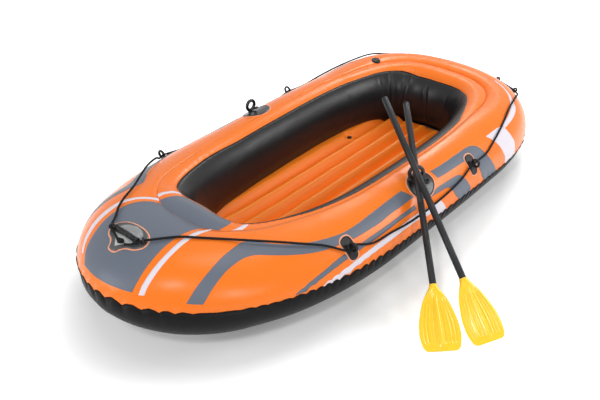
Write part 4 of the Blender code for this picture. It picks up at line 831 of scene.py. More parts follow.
    def seat(self, point: tuple[float, float, float], heading: tuple[float, float, float],
             lobe: Lobe = Lobe.OUTER) -> "Seat":
        """Find the place on the skin nearest to a point, with its Z outward and X along a heading."""
        s, angle = self.nearest(np.array(point), lobe)
        normal = self.tangents(np.array(s), np.array(angle), lobe)[2]
        return Seat(self, lobe, s, angle, placed(self.skin(s, angle, lobe), heading, normal))

    def wall_line(self, height: float, inset: float) -> tuple[Array, Array]:
        """Trace the cockpit's wall at a height above the tubes' underside, on its port half.

        Args:
            height: the height.
            inset: how far inside the wall.

        Returns:
            The half widths and the places along the boat that they belong to.
        """
        s = np.linspace(0, 0.5, 400)
        half = self.at(s)[:, HALF_HEIGHT]
        line = self.skin(s, np.arcsin(height / half - 1), Lobe.INNER, inset)
        return line[:, 0], line[:, 1]


@dataclass
class Seat:
    """A place on the skin with a frame, on which flat drawings are laid."""

    form: HullForm
    lobe: Lobe
    s: float
    angle: float
    place: Array

    def drape(self, across: Array, lift: Array | float) -> Array:
        """Lay a drawing on the skin: the point whose shadow on the seat's plane is (a, b).

        Args:
            across: drawing coordinates in metres, with a and b in the last axis.
            lift: how far off the skin.

        Returns:
            Points of the same shape with x, y and z.
        """
        s = np.full(across.shape[:-1], self.s)
        angle = np.full(across.shape[:-1], self.angle)
        origin, frame_ = self.place[:3, 3], self.place[:3, :2]
        for _ in range(8):
            along, round_, _ = self.form.tangents(s, angle, self.lobe)
            miss = across - (self.form.skin(s, angle, self.lobe) - origin) @ frame_
            (a, b), (c, d) = (along @ frame_).transpose((-1, *range(along.ndim - 1))), \
                (round_ @ frame_).transpose((-1, *range(along.ndim - 1)))
            size = a * d - b * c
            s = s + (miss[..., 0] * d - miss[..., 1] * c) / size
            angle = angle + (miss[..., 1] * a - miss[..., 0] * b) / size
        return self.form.skin(s, angle, self.lobe, lift, puckered=True)


# ---------------------------------------------------------------- the tubes


@dataclass
class Tubes:
    """The two air chambers: four sheets that meet at the seam, the crease and the rim."""

    form: HullForm
    seam_columns: int = 2560
    wall_columns: int = 1600
    outer_rows: int = 28
    deck_rows: int = 12
    wall_rows: int = 26
    welt_width: float = 0.0046
    welt_thickness: float = 0.0022

    def sheet(self, name: str, lobe: Lobe, start: int | None, end: int, columns: int, rows: int,
              crowd: float, finish: Finish, slot: Slot) -> None:
        """Build one sheet's share of the section, closed through the bulkhead between the lobes.

        Args:
            name: the CAD node that it stands for.
            lobe: its lobe.
            start: the table column of the angle that it starts from, or None for under the tube.
            end: the table column of the angle that it ends at.
            columns: steps round the boat.
            rows: steps round the section.
            crowd: above 1, rows stand closer together near the start.
            finish: its material.
            slot: the record's slot.
        """
        s = (np.arange(columns) / columns)[:, None]
        row = self.form.at(s)
        first = -row[..., CREASE_ANGLE] if start is None else row[..., start]
        share = np.linspace(0, 1, rows + 1)[None, :]
        share = 1 - (1 - share) ** (1 / crowd) if start is None else share ** crowd
        angle = first + (row[..., end] - first) * share
        arc = self.form.skin(s, angle, lobe, 0.0, puckered=True)
        edge, inward, crease, half = row[..., :2], row[..., 2:4], row[..., CREASE:CREASE + 1], row[..., HALF_HEIGHT]
        core = edge + inward * crease
        core = np.concatenate([core, (half + self.form.rise(core[..., 1]))[..., None]], -1)
        Shell().grid(np.concatenate([arc, core], 1), rows_meet=True, columns_meet=True).piece(
            name + "_sheet", finish, "hull", slot, (name,))

    def welt(self) -> None:
        """Build the welded flange round the outer seam.

        Its section is a thin rounded bar from the skin outward, its width swelling and its
        height swaying with the same gathers as the sheets.
        """
        s = (np.arange(self.seam_columns) / self.seam_columns)[:, None]
        seam = self.form.at(s)[..., 10]
        pull = self.form.gathers.wave(s) * self.form.gathers.strength(s)
        turn = (np.arange(10) / 10 * FULL_TURN)[None, :]
        width = self.welt_width * (1 + 0.35 * pull)
        out = -0.002 + width / 2 * (1 + np.cos(turn))
        half = self.form.at(s)[..., 7]
        lean = self.welt_thickness / 2 * np.sin(turn) - 0.0018 + 0.0010 * pull
        points = self.form.skin(s, seam + lean / half, Lobe.OUTER, out, puckered=True)
        Shell().grid(points, rows_meet=True, columns_meet=True).piece(
            "seam_welt_flange", BLACK, "hull", Slot.BLACK, ("outer_seam_welt",))

    def rim_bead(self) -> None:
        """Build the thin bead of the weld at the cockpit's rim: a small circle round the rim's line."""
        s = (np.arange(self.wall_columns) / self.wall_columns)[:, None]
        rim = self.form.at(s)[..., 9]
        turn = (np.arange(8) / 8 * FULL_TURN)[None, :]
        ruffle = 1 + 0.30 * np.sin(FULL_TURN * 150 * s + 2 * np.sin(FULL_TURN * 7 * s))
        radius = self.form.at(s)[..., 5]
        points = self.form.skin(
            s, rim + 0.0016 * np.cos(turn) / radius, Lobe.INNER, 0.0013 * ruffle * np.sin(turn) + 0.0002)
        Shell().grid(points, rows_meet=True, columns_meet=True).piece(
            "rim_weld_bead", FLOOR_ORANGE, "hull", Slot.ORANGE)

    def build(self) -> None:
        """Build the sheets and the welt."""
        self.sheet("outer_chamber_top", Lobe.OUTER, SEAM_ANGLE, CREASE_ANGLE,
                   self.seam_columns, self.outer_rows, 1.5,
                   ORANGE, Slot.ORANGE)
        self.sheet("outer_chamber_bottom", Lobe.OUTER, None, SEAM_ANGLE, self.seam_columns, 18, 1.6,
                   BLACK, Slot.BLACK)
        self.sheet("inner_chamber_deck", Lobe.INNER, RIM_ANGLE, CREASE_ANGLE, self.wall_columns,
                   self.deck_rows, 1.0,
                   ORANGE, Slot.ORANGE)
        self.sheet("inner_chamber_wall", Lobe.INNER, None, RIM_ANGLE, self.wall_columns, self.wall_rows, 1.0,
                   BLACK_WALL, Slot.BLACK)
        self.welt()
        self.rim_bead()


@dataclass(frozen=True)
class Band:
    """A printed area between two edges, each given as points of s and degrees."""

    name: str
    one: Points
    two: Points
    white: bool = False
    lobe: Lobe = Lobe.OUTER
    mirrored: bool = True


BANDS: tuple[Band, ...] = (
    Band("bow_panel", ((-0.0125, 23.5), (-0.0144, 27.6), (-0.0187, 35.3), (-0.0230, 48.1), (-0.0277, 58.9),
                       (-0.0320, 70.0), (-0.0364, 80.1), (-0.0391, 91.8), (-0.0392, 98.5), (-0.0387, 106.2),
                       (-0.0350, 112.9), (-0.0310, 125)),
         ((0.0188, 25), (0.0196, 35), (0.0212, 57), (0.0232, 76), (0.027, 95), (0.033, 108), (0.043, 116),
          (0.056, 125)), mirrored=False),
    Band("bow_panel_inboard",
         ((-0.0430, 130), (-0.0428, 113.9), (-0.0425, 98.8), (-0.0424, 90), (-0.0437, 80.8),
                               (-0.0450, 50)),
         ((0.046, 130), (0.051, 113), (0.060, 97), (0.066, 82), (0.072, 50)),
         lobe=Lobe.INNER, mirrored=False),
    Band("bow_line", ((0.0218, 24.2), (0.0225, 36), (0.0245, 54), (0.0272, 72), (0.0305, 90), (0.036, 104),
                      (0.0455, 110.8)),
         ((0.0243, 24.7), (0.0252, 36), (0.0275, 54), (0.0307, 72), (0.0352, 90), (0.0405, 101),
          (0.0472, 110.0)), white=True, mirrored=False),
    Band("bow_line_inboard",
         ((0.0515, 119), (0.0522, 113), (0.060, 106), (0.070, 94), (0.079, 74), (0.084, 52)),
         ((0.0555, 119), (0.0567, 115), (0.064, 108), (0.0745, 95), (0.084, 75), (0.090, 52)),
         white=True, lobe=Lobe.INNER, mirrored=False),
    Band("bow_line_far", ((-0.0206, 27.4), (-0.0271, 36.8), (-0.0342, 49.4), (-0.0403, 63.1), (-0.0456, 76.3),
                          (-0.0473, 88.5), (-0.0478, 96.6), (-0.0474, 104.8), (-0.0472, 112.6)),
         ((-0.0184, 28.1), (-0.0234, 37.6), (-0.0292, 50.7), (-0.0351, 64.9), (-0.0411, 77.0),
          (-0.0437, 88.8), (-0.0439, 96.7), (-0.0433, 104.7), (-0.0410, 112.9)), white=True, mirrored=False),
    Band("bow_line_far_inboard",
         ((-0.0545, 118), (-0.0549, 108.5), (-0.0564, 98.4), (-0.0573, 89), (-0.062, 74.9),
                                  (-0.066, 52)),
         ((-0.0482, 118), (-0.0491, 106.8), (-0.0506, 98.7), (-0.0518, 89.3), (-0.0546, 77.6), (-0.058, 52)),
         white=True, lobe=Lobe.INNER, mirrored=False),
    Band("side_sweep",
         ((0.0501, 19.2), (0.0548, 36), (0.0617, 51), (0.0706, 59), (0.0800, 60), (0.0906, 56.5),
                        (0.1020, 52), (0.1160, 47), (0.1284, 44), (0.1420, 43), (0.1560, 42), (0.1720, 42.5),
                        (0.1834, 43), (0.1963, 45), (0.2100, 45), (0.2270, 45.5)),
         ((0.0426, 20.5), (0.0470, 38), (0.0530, 54), (0.0600, 67), (0.0686, 75), (0.0754, 76.6),
          (0.0866, 72.4), (0.0967, 67), (0.1124, 60), (0.1287, 56), (0.1465, 53.5), (0.1564, 54),
          (0.1678, 55.6), (0.1803, 58), (0.2000, 60.5), (0.2200, 61.5))),
    Band("side_wedge", ((0.0994, 7.8), (0.1043, 8), (0.1134, 13), (0.1261, 19), (0.1402, 23.5), (0.1576, 27),
                        (0.1775, 29), (0.2023, 31), (0.2230, 30.5)),
         ((0.0995, 9.2), (0.1101, 17.5), (0.1229, 24), (0.1373, 30), (0.1551, 32.5), (0.1684, 34.5),
          (0.1918, 36), (0.2043, 36.5), (0.2230, 36.5))),
    Band("side_swoosh", ((0.1199, 5.3), (0.1378, 5.5), (0.1525, 10.5), (0.1685, 13.8), (0.1858, 15.5),
                         (0.2044, 16.6), (0.2213, 15.6), (0.2291, 13.4), (0.2386, 10.2)),
         ((0.1200, 7.4), (0.1339, 12.5), (0.1484, 17), (0.1643, 20.8), (0.1815, 23.2), (0.1999, 24.5),
          (0.2192, 24.3), (0.2309, 22.7), (0.2416, 20.7)), white=True),
    Band("side_block", ((0.2394, 20.3), (0.2435, 10), (0.2475, -20)),
         ((0.2535, 19.4), (0.2580, 8), (0.2640, -20)), white=True),
    Band("low_hook",
         ((0.2428, 33), (0.2546, 36.9), (0.2660, 36.4), (0.2761, 35.5), (0.2860, 33), (0.2914, 23),
                      (0.2957, 11.6), (0.2994, -2.6), (0.3010, -24)),
         ((0.2430, 31.6), (0.2505, 30.9), (0.2588, 29.7), (0.2650, 28.8), (0.2690, 26), (0.2716, 20.5),
          (0.2746, 10.1), (0.2792, -2.3), (0.2800, -24))),
    Band("high_hook", ((0.2594, 60.6), (0.2730, 59.2), (0.2880, 58.9), (0.3036, 58.5), (0.3140, 57.6),
                       (0.3215, 54), (0.3256, 48.1), (0.3288, 37.8), (0.3318, 26.5), (0.3353, 13.9),
                       (0.3397, 0.8), (0.3415, -24)),
         ((0.2616, 47), (0.2712, 45.8), (0.2858, 44.9), (0.2986, 43.9), (0.3060, 41.5), (0.3105, 36),
          (0.3130, 27), (0.3145, 18), (0.3160, 9), (0.3188, 0.2), (0.3195, -10), (0.3200, -24))),
    Band("stern_patch", ((0.3435, 52.5), (0.3464, 45.5), (0.3492, 37.1), (0.3517, 26.7), (0.3538, 15.7),
                         (0.3560, 4), (0.3570, -24)),
         ((0.3556, 53.3), (0.3640, 53), (0.3694, 49.1), (0.3713, 38.7), (0.3729, 27.2), (0.3746, 15.1),
          (0.3760, -24)), white=True),
    Band("stern_crescent", ((0.4480, 82.4), (0.4311, 75.3), (0.4138, 63.3), (0.4034, 53.1), (0.3921, 48.9),
                            (0.3706, 45.8)),
         ((0.4473, 85.5), (0.4332, 79.6), (0.4132, 69.4), (0.3987, 61.6), (0.3838, 56.0), (0.3690, 53.0)),
         white=True),
)


@dataclass
class Print:
    """The plain colour bands printed on the tubes, as films just over the sheets."""

    form: HullForm
    lift: float = 0.00035
    along_step: float = 0.0024
    across_step: float = 0.0060

    def film(self, band: Band, side: Side) -> None:
        """Lay one band: straight steps in s and angle between its two smoothed edges.

        Args:
            band: the band.
            side: the side of the boat it lies on.
        """
        one, two = (self.evened(edge) for edge in (band.one, band.two))
        length = np.linalg.norm(np.diff(self.on_skin(one, band.lobe), axis=0), axis=1).sum()
        length = max(length, np.linalg.norm(np.diff(self.on_skin(two, band.lobe), axis=0), axis=1).sum())
        width = np.linalg.norm(self.on_skin(one, band.lobe) - self.on_skin(two, band.lobe), axis=1).max()
        along = np.linspace(0, 1, max(int(length / self.along_step), 8) + 1)
        across = np.linspace(0, 1, max(int(width / self.across_step), 2) + 1)[None, :, None]
        edges = [np.stack([np.interp(along, np.linspace(0, 1, len(e)), column) for column in e.T], -1)[:,
                                                                                                       None]
                 for e in (one, two)]
        place = edges[0] + (edges[1] - edges[0]) * across
        s = np.mod(place[..., 0] * side.value, 1.0)
        row = self.form.at(s)
        if band.lobe is Lobe.OUTER:
            angle = np.clip(place[..., 1], row[..., SEAM_ANGLE] + 0.004, row[..., CREASE_ANGLE] - 0.002)
        else:
            angle = np.clip(place[..., 1], row[..., RIM_ANGLE] + 0.012, row[..., CREASE_ANGLE] - 0.004)
        top = self.form.skin(s, angle, band.lobe, self.lift, puckered=True)
        under = self.form.skin(s, angle, band.lobe, -0.0004, puckered=True)
        loop = np.concatenate([top, under[:, ::-1]], 1)
        caps = np.concatenate([loop[:1], loop[-1:]])
        shell = Shell().grid(loop, columns_meet=True)
        for end in (0, 1):
            half = loop.shape[1] // 2
            shell.grid(np.stack([caps[end, :half], caps[end, :half - 1:-1]]))
        name = f"{band.name}_{side.name.lower()}" if band.mirrored else band.name
        shell.piece(name, WHITE_PRINT if band.white else GREY_PRINT, "hull", Slot.ORANGE)

    def evened(self, edge: Points) -> Array:
        """Smooth an edge's points, with degrees scaled so that a step is alike in both directions."""
        points = np.array(edge, float)
        points[:, 1] = np.radians(points[:, 1]) * 0.035
        line = curve_through(points, 0.0004)
        line[:, 1] /= 0.035
        share = np.linspace(0, 1, 160)
        return np.stack([np.interp(share, np.linspace(0, 1, len(line)), column) for column in line.T], -1)

    def on_skin(self, edge: Array, lobe: Lobe) -> Array:
        """Give an edge's points on the plain skin."""
        return self.form.skin(edge[:, 0], edge[:, 1], lobe)

    def build(self) -> None:
        """Lay every band on its side or sides."""
        for band in BANDS:
            for side in Side if band.mirrored else (Side.PORT,):
                self.film(band, side)


# ---------------------------------------------------------------- the floor


@dataclass
class AirFloor:
    """The ribbed air floor and the flat sheet under it."""

    form: HullForm
    height: float = 0.084
    sheet: float = 0.010
    gap: float = 0.0003
    ribs: int = 7
    pitch: float = 0.085
    rib_height: float = 0.046
    end_margin: float = 0.020
    end_taper: float = 0.055
    valve: tuple[float, float, float] = (-0.231, 0.480, 0.0635)
    valve_clear: float = 0.015

    def top(self, x: Array, y: Array) -> Array:
        """Work out the floor's upper side.

        Each rib is cos(phase) ** 1.15 across, full against the side walls, and sinks at its ends as
        sqrt(1 - (1 - distance) squared); the welded valleys between are drawn into puckers, and the
        floor levels out to a flat round the floor valve.

        Args:
            x: distances to port.
            y: distances toward the stern.

        Returns:
            Heights before the bow's rise.
        """
        _, wall_y = self.form.wall_line(self.height, 0.0)
        bow, stern = wall_y.min() + self.end_margin, wall_y.max() - self.end_margin
        from_end = np.clip(np.minimum(y - bow, stern - y) / self.end_taper, 0, 1)
        swell = np.sqrt(1 - (1 - from_end) ** 2)
        phase = np.abs(np.mod(x / self.pitch + self.ribs / 2, 1.0) - 0.5) * 2
        crown = np.maximum(np.cos(phase * math.pi / 2), 0.0) ** 1.15
        crown = np.where(np.abs(x) < (self.ribs - 1) * self.pitch / 2, crown, 1.0)
        rib = np.floor(x / self.pitch + self.ribs / 2)
        pucker = 0.0011 * np.sin(FULL_TURN * (y / 0.031 + 0.37 * rib)) * np.exp(-((1 - phase) / 0.30) ** 2)
        slack = 0.0009 * np.sin(FULL_TURN * y / 0.23 + rib * 1.7)
        top = self.height - self.rib_height + (self.rib_height * crown + pucker + slack) * swell
        away = np.hypot(x - self.valve[0], y - self.valve[1]) - self.valve_clear
        return self.valve[2] + (top - self.valve[2]) * smooth_step(away / 0.022)

    def build(self) -> None:
        """Build the panel and its bottom sheet."""
        wide, along = self.form.wall_line(0.060, 0.0005)
        low_wide, low_along = self.form.wall_line(self.sheet + self.gap, 0.0010)
        share = (1 - np.cos(np.linspace(0, math.pi, 340))) / 2
        y = along.min() + 0.002 + (along.max() - along.min() - 0.004) * share
        half = np.interp(y, along, wide)
        columns = np.linspace(-1, 1, self.ribs * 26 + 1) * self.ribs * self.pitch / 2 * 1.02
        x = np.clip(columns[None, :], -half[:, None], half[:, None])
        rows = np.broadcast_to(y[:, None], x.shape)
        crown = np.stack([x, rows, self.top(x, rows) + self.form.rise(rows)], -1)
        low_y = low_along.min() + 0.002 + (low_along.max() - low_along.min() - 0.004) * share
        low_half = np.interp(low_y, low_along, low_wide)
        keel = np.stack([
            np.stack([low_half, low_y, self.sheet + self.gap + self.form.rise(low_y)], -1),
            np.stack([-low_half, low_y, self.sheet + self.gap + self.form.rise(low_y)], -1)], 1)
        loop = np.concatenate([crown, keel], 1)
        ends = loop.mean(1, keepdims=True)
        ring = np.concatenate([
            np.broadcast_to(ends[:1], (1, loop.shape[1], 3)), loop,
            np.broadcast_to(ends[-1:], (1, loop.shape[1], 3))])
        Shell().grid(ring, columns_meet=True).piece(
            "floor_air_panel", FLOOR_ORANGE, "hull", Slot.FLOOR, ("floor_panel",))
        edge_x, edge_y = self.form.wall_line(self.sheet, 0.0012)
        outline = np.stack([np.concatenate([edge_x, -edge_x[::-1]]), np.concatenate([edge_y, edge_y[::-1]])],
                           -1)
        middle = np.array([0.0, self.form.cockpit_shift])
        rings = [(0.0, 0.0), (0.5, 0.0), (0.97, 0.0), (1.0, 0.002), (1.0, self.sheet - 0.001),
                 (0.995, self.sheet), (0.5, self.sheet), (0.0, self.sheet)]
        layers = []
        for scale, height in rings:
            flat = middle + (outline - middle) * scale
            layers.append(np.concatenate([flat, (height + self.form.rise(flat[:, 1]))[:, None]], 1))
        Shell().grid(np.stack(layers), columns_meet=True).piece(
            "floor_under_sheet", BLACK, "hull", Slot.BLACK, ("floor_bottom_sheet",))


# ---------------------------------------------------------------- patches, eyes and rowlocks


def oval(length: float, width: float, count: int = 120) -> Array:
    """Draw an ellipse."""
    turn = np.arange(count) / count * FULL_TURN
    return np.stack([length / 2 * np.cos(turn), width / 2 * np.sin(turn)], -1)


def peanut(length: float, width: float, waist: float, taper: float = 0.0, count: int = 144) -> Array:
    """Draw two round lobes joined by a waist.

    x is the half length times cos; y the half width times sin, pinched by waist * (1 - cos 2a) / 2,
    swelled by 0.35 cos squared at the lobes and narrowed toward +X by taper.
    """
    turn = np.arange(count) / count * FULL_TURN
    pinch = 1 - waist * np.cos(turn * 2 + math.pi) * 0.5 - waist * 0.5
    y = width / 2 * np.sin(turn) * pinch * (1 + 0.35 * np.cos(turn) ** 2) * (1 - taper * np.cos(turn))
    return np.stack([length / 2 * np.cos(turn), y], -1)


@dataclass
class Patch:
    """A moulded patch welded to the skin, with a raised border and a lighter pink ring round it, a painted
    highlight rim.
    """

    name: str
    seat: Seat
    outline: Array
    finish: Finish
    slot: Slot
    thickness: float = 0.0030
    margin: float = 0.0055
    bead: float = 0.0007

    def grown(self, by: float) -> Array:
        """Move the outline outward along its own normals."""
        ahead = np.roll(self.outline, -1, 0) - np.roll(self.outline, 1, 0)
        normal = np.stack([ahead[:, 1], -ahead[:, 0]], -1)
        return self.outline + by * normal / np.linalg.norm(normal, axis=1, keepdims=True)

    def build(self) -> None:
        """Build the patch from rings of its outline, and the margin as a thin ring outside it, in a lighter pink
        that paints a highlight rim.

        Each ring is the outline shrunk about the middle or moved in along its normals, with a
        height off the skin: flat, then a small bead, then a rounded edge down into the skin.
        """
        top = self.thickness
        middle = self.outline.mean(0)
        rings = [(middle + (self.outline - middle) * share, top - 0.0004) for share in (0.0, 0.3, 0.55, 0.75)]
        for inset, height in ((0.0075, top - 0.0004), (0.0062, top - 0.0002), (0.0050, top + self.bead),
                              (0.0032, top + self.bead), (0.0020, top - 0.0001), (0.0008, top - 0.0004),
                              (0.0002, top - 0.0011), (0.0, top - 0.0022), (0.0, -0.0012)):
            rings.append((self.grown(-inset), height))
        rings.append((middle + (self.outline - middle) * 0.5, -0.0012))
        rings.append((middle + (self.outline - middle) * 0.0, -0.0012))
        grid = np.stack([self.seat.drape(ring, height) for ring, height in rings])
        Shell().grid(grid, columns_meet=True).piece(
            self.name + "_moulding", self.finish, "hull", self.slot, (self.name,))
        if self.margin:
            rings = [(self.grown(-0.001), 0.0003), (self.grown(-0.001), 0.00075),
                     (self.grown(self.margin), 0.00070), (self.grown(self.margin), -0.0004)]
            grid = np.stack([self.seat.drape(ring, height) for ring, height in rings])
            Shell().grid(grid, rows_meet=True, columns_meet=True).piece(
                self.name + "_margin", PAINTED_LIGHT_HALO, "hull", Slot.ORANGE)


@dataclass
class Eye:
    """A moulded rope eye: an upright ring on a domed foot."""

    name: str
    place: Array
    radius: float = 0.0165
    thickness: float = 0.0102
    height: float = 0.0190
    foot: float = 0.030
    over: float = 0.0030

    def build(self) -> None:
        """Build the foot as a turned dome and the ring as a circle carried round a circle.

        The ring's section is an ellipse, wider along the hole than it is thick.
        """
        half = self.foot / 2
        shell = Shell().turned((
            (0, -0.004), (half, -0.004), (half, self.over * 0.6), (half - 0.0008, self.over + 0.0016),
            (half * 0.80, self.over + 0.0034), (half * 0.45, self.over + 0.0046), (0, self.over + 0.0050)),
            self.place, 40)
        turn = (np.arange(48) / 48 * FULL_TURN)[:, None]
        round_ = (np.arange(16) / 16 * FULL_TURN)[None, :]
        out = self.radius + self.thickness / 2 * np.cos(round_)
        x = np.broadcast_to(self.thickness / 2 * 1.12 * np.sin(round_), (48, 16))
        ring = np.stack([x, out * np.cos(turn), self.height + self.over + out * np.sin(turn)], -1)
        shell.grid(moved(ring, self.place), rows_meet=True, columns_meet=True)
        shell.piece(self.name + "_loop", RUBBER, "hull", Slot.RUBBER, (self.name,))


@dataclass
class Holders:
    """The rope holders: one eye on a two-lobed patch at four places on the sides, and a long
    patch with two eyes on each stern quarter."""

    form: HullForm
    fore_port: tuple[float, float, float] = (0.514, -0.462, 0.281)
    fore_starboard: tuple[float, float, float] = (-0.506, -0.506, 0.285)
    aft: tuple[float, float, float] = (0.543, 0.362, 0.268)
    stern_eyes: Points = ((0.339976, 1.106413), (0.212061, 1.167815))
    stern_height: float = 0.275
    lobed: tuple[float, float, float, float] = (0.096, 0.064, 0.20, 0.12)
    stern_margin: float = 0.030
    stern_width: float = 0.055

    def build(self) -> None:
        """Build the six holders."""
        for side in Side:
            aft = (self.aft[0] * side.value, *self.aft[1:])
            fore = self.fore_port if side is Side.PORT else self.fore_starboard
            for label, point in (("fore", fore), ("aft", aft)):
                name = f"{side.name.lower()}_{label}_holder"
                seat = self.form.seat(point, (side.value, 0, 0))
                Patch(name + "_patch", seat, peanut(*self.lobed), RUBBER, Slot.RUBBER).build()
                Eye(name + "_eye", placed(seat.place[:3, 3], (0, 1, 0), seat.place[:3, 2])).build()
            name = f"{side.name.lower()}_stern_holder"
            eyes = [np.array([x * side.value, y, self.stern_height]) for x, y in self.stern_eyes]
            tangent = (eyes[0] - eyes[1]) * side.value
            seats = [self.form.seat(tuple(eye), tuple(tangent)) for eye in eyes]
            middle = self.form.seat(tuple((eyes[0] + eyes[1]) / 2), tuple(tangent))
            length = np.linalg.norm(eyes[0] - eyes[1]) + self.stern_margin * 2
            Patch(name + "_patch", middle, peanut(length, self.stern_width, 0.30), RUBBER,
                  Slot.RUBBER).build()
            for label, seat in zip(("outboard", "inboard"), seats):
                Eye(f"{name}_{label}_eye", seat.place, 0.0105, 0.0090, 0.0130, 0.024).build()


@dataclass
class Rowlock:
    """An oarlock: oval patch, moulded boss with its bore, socket, and a ring on an upright pin."""

    form: HullForm
    side: Side
    ring_point: tuple[float, float, float]
    hole: tuple[float, float, float]
    patch_at: tuple[float, float, float] = (0.496, 0.030, 0.3105)
    boss_at: tuple[float, float, float] = (0.4965, 0.063, 0.3097)
    ring_radius: float = 0.0282
    ring_thickness: float = 0.0155
    ring_height: float = 0.0475
    pin: float = 0.0120
    collar: float = 0.020
    socket: float = 0.026
    socket_height: float = 0.0115
    socket_depth: float = 0.0052

    def build(self) -> None:
        """Build the four pieces; the ring and its pin ride on the rowlock's own body."""
        sign, word = self.side.value, self.side.name.lower()
        seat = self.form.seat((self.patch_at[0] * sign, *self.patch_at[1:]), (0, 1, 0))
        Patch(f"{word}_oarlock_patch", seat, oval(0.145, 0.120), SOCKET_RUBBER, Slot.RUBBER,
              bead=0.0010).build()
        boss = self.form.seat((self.boss_at[0] * sign, *self.boss_at[1:]), (0, 1, 0))
        Shell().turned((
            (0.00525, -0.004), (0.0156, -0.004), (0.0156, 0.0026), (0.0150, 0.0050), (0.0138, 0.0080),
            (0.0128, 0.0094), (0.0110, 0.0096), (0.0090, 0.0088), (0.0068, 0.0086), (0.00525, 0.0080)),
            boss.place, 48).piece(f"{word}_oarlock_boss_moulding", RUBBER, "hull", Slot.RUBBER,
                                  (f"{word}_oarlock_boss",))
        base = np.eye(4)
        base[:3, 3] = np.array(self.ring_point) - (0, 0, self.ring_height)
        outer, bore = self.socket / 2, self.pin / 2 + 0.0005
        floor = self.socket_height - self.socket_depth
        Shell().turned((
            (0, -0.012), (outer * 1.25, -0.012), (outer * 1.22, 0.004),
            (outer * 1.08, self.socket_height - 0.002),
            (outer * 1.0, self.socket_height - 0.0006), (outer * 0.92, self.socket_height),
            (bore + 0.0006, self.socket_height), (bore, self.socket_height - 0.0006), (bore, floor),
            (0, floor)),
            base, 48).piece(f"{word}_oarlock_socket_moulding", RUBBER, "hull", Slot.RUBBER,
                            (f"{word}_oarlock_socket",))
        place = placed(np.array(self.ring_point), self.hole, (0, 0, 1))
        turn = (np.arange(72) / 72 * FULL_TURN)[:, None]
        round_ = (np.arange(20) / 20 * FULL_TURN)[None, :]
        out = self.ring_radius + self.ring_thickness / 2 * np.cos(round_)
        flat = np.sign(np.sin(round_)) * np.abs(np.sin(round_)) ** 0.85 * self.ring_thickness / 2
        ring = np.stack([np.broadcast_to(flat, (72, 20)), out * np.cos(turn), out * np.sin(turn)], -1)
        shell = Shell().grid(moved(ring, place), rows_meet=True, columns_meet=True)
        foot = floor + 0.0003 - self.ring_height
        shoulder = self.socket_height + 0.0003 - self.ring_height
        half, wide, low = self.pin / 2, self.collar / 2, -self.ring_radius
        shell.turned((
            (0, foot), (half - 0.0005, foot), (half, foot + 0.0005), (half, shoulder),
            (wide - 0.0004, shoulder),
            (wide, shoulder + 0.0006), (wide * 0.92, shoulder + 0.0016), (half * 1.08, low - 0.0030),
            (half, low), (0, low)), place, 40)
        shell.piece(f"{word}_oarlock_ring_moulding", SOCKET_RUBBER, f"{word}_rowlock", Slot.RUBBER,
                    (f"{word}_oarlock_ring",))


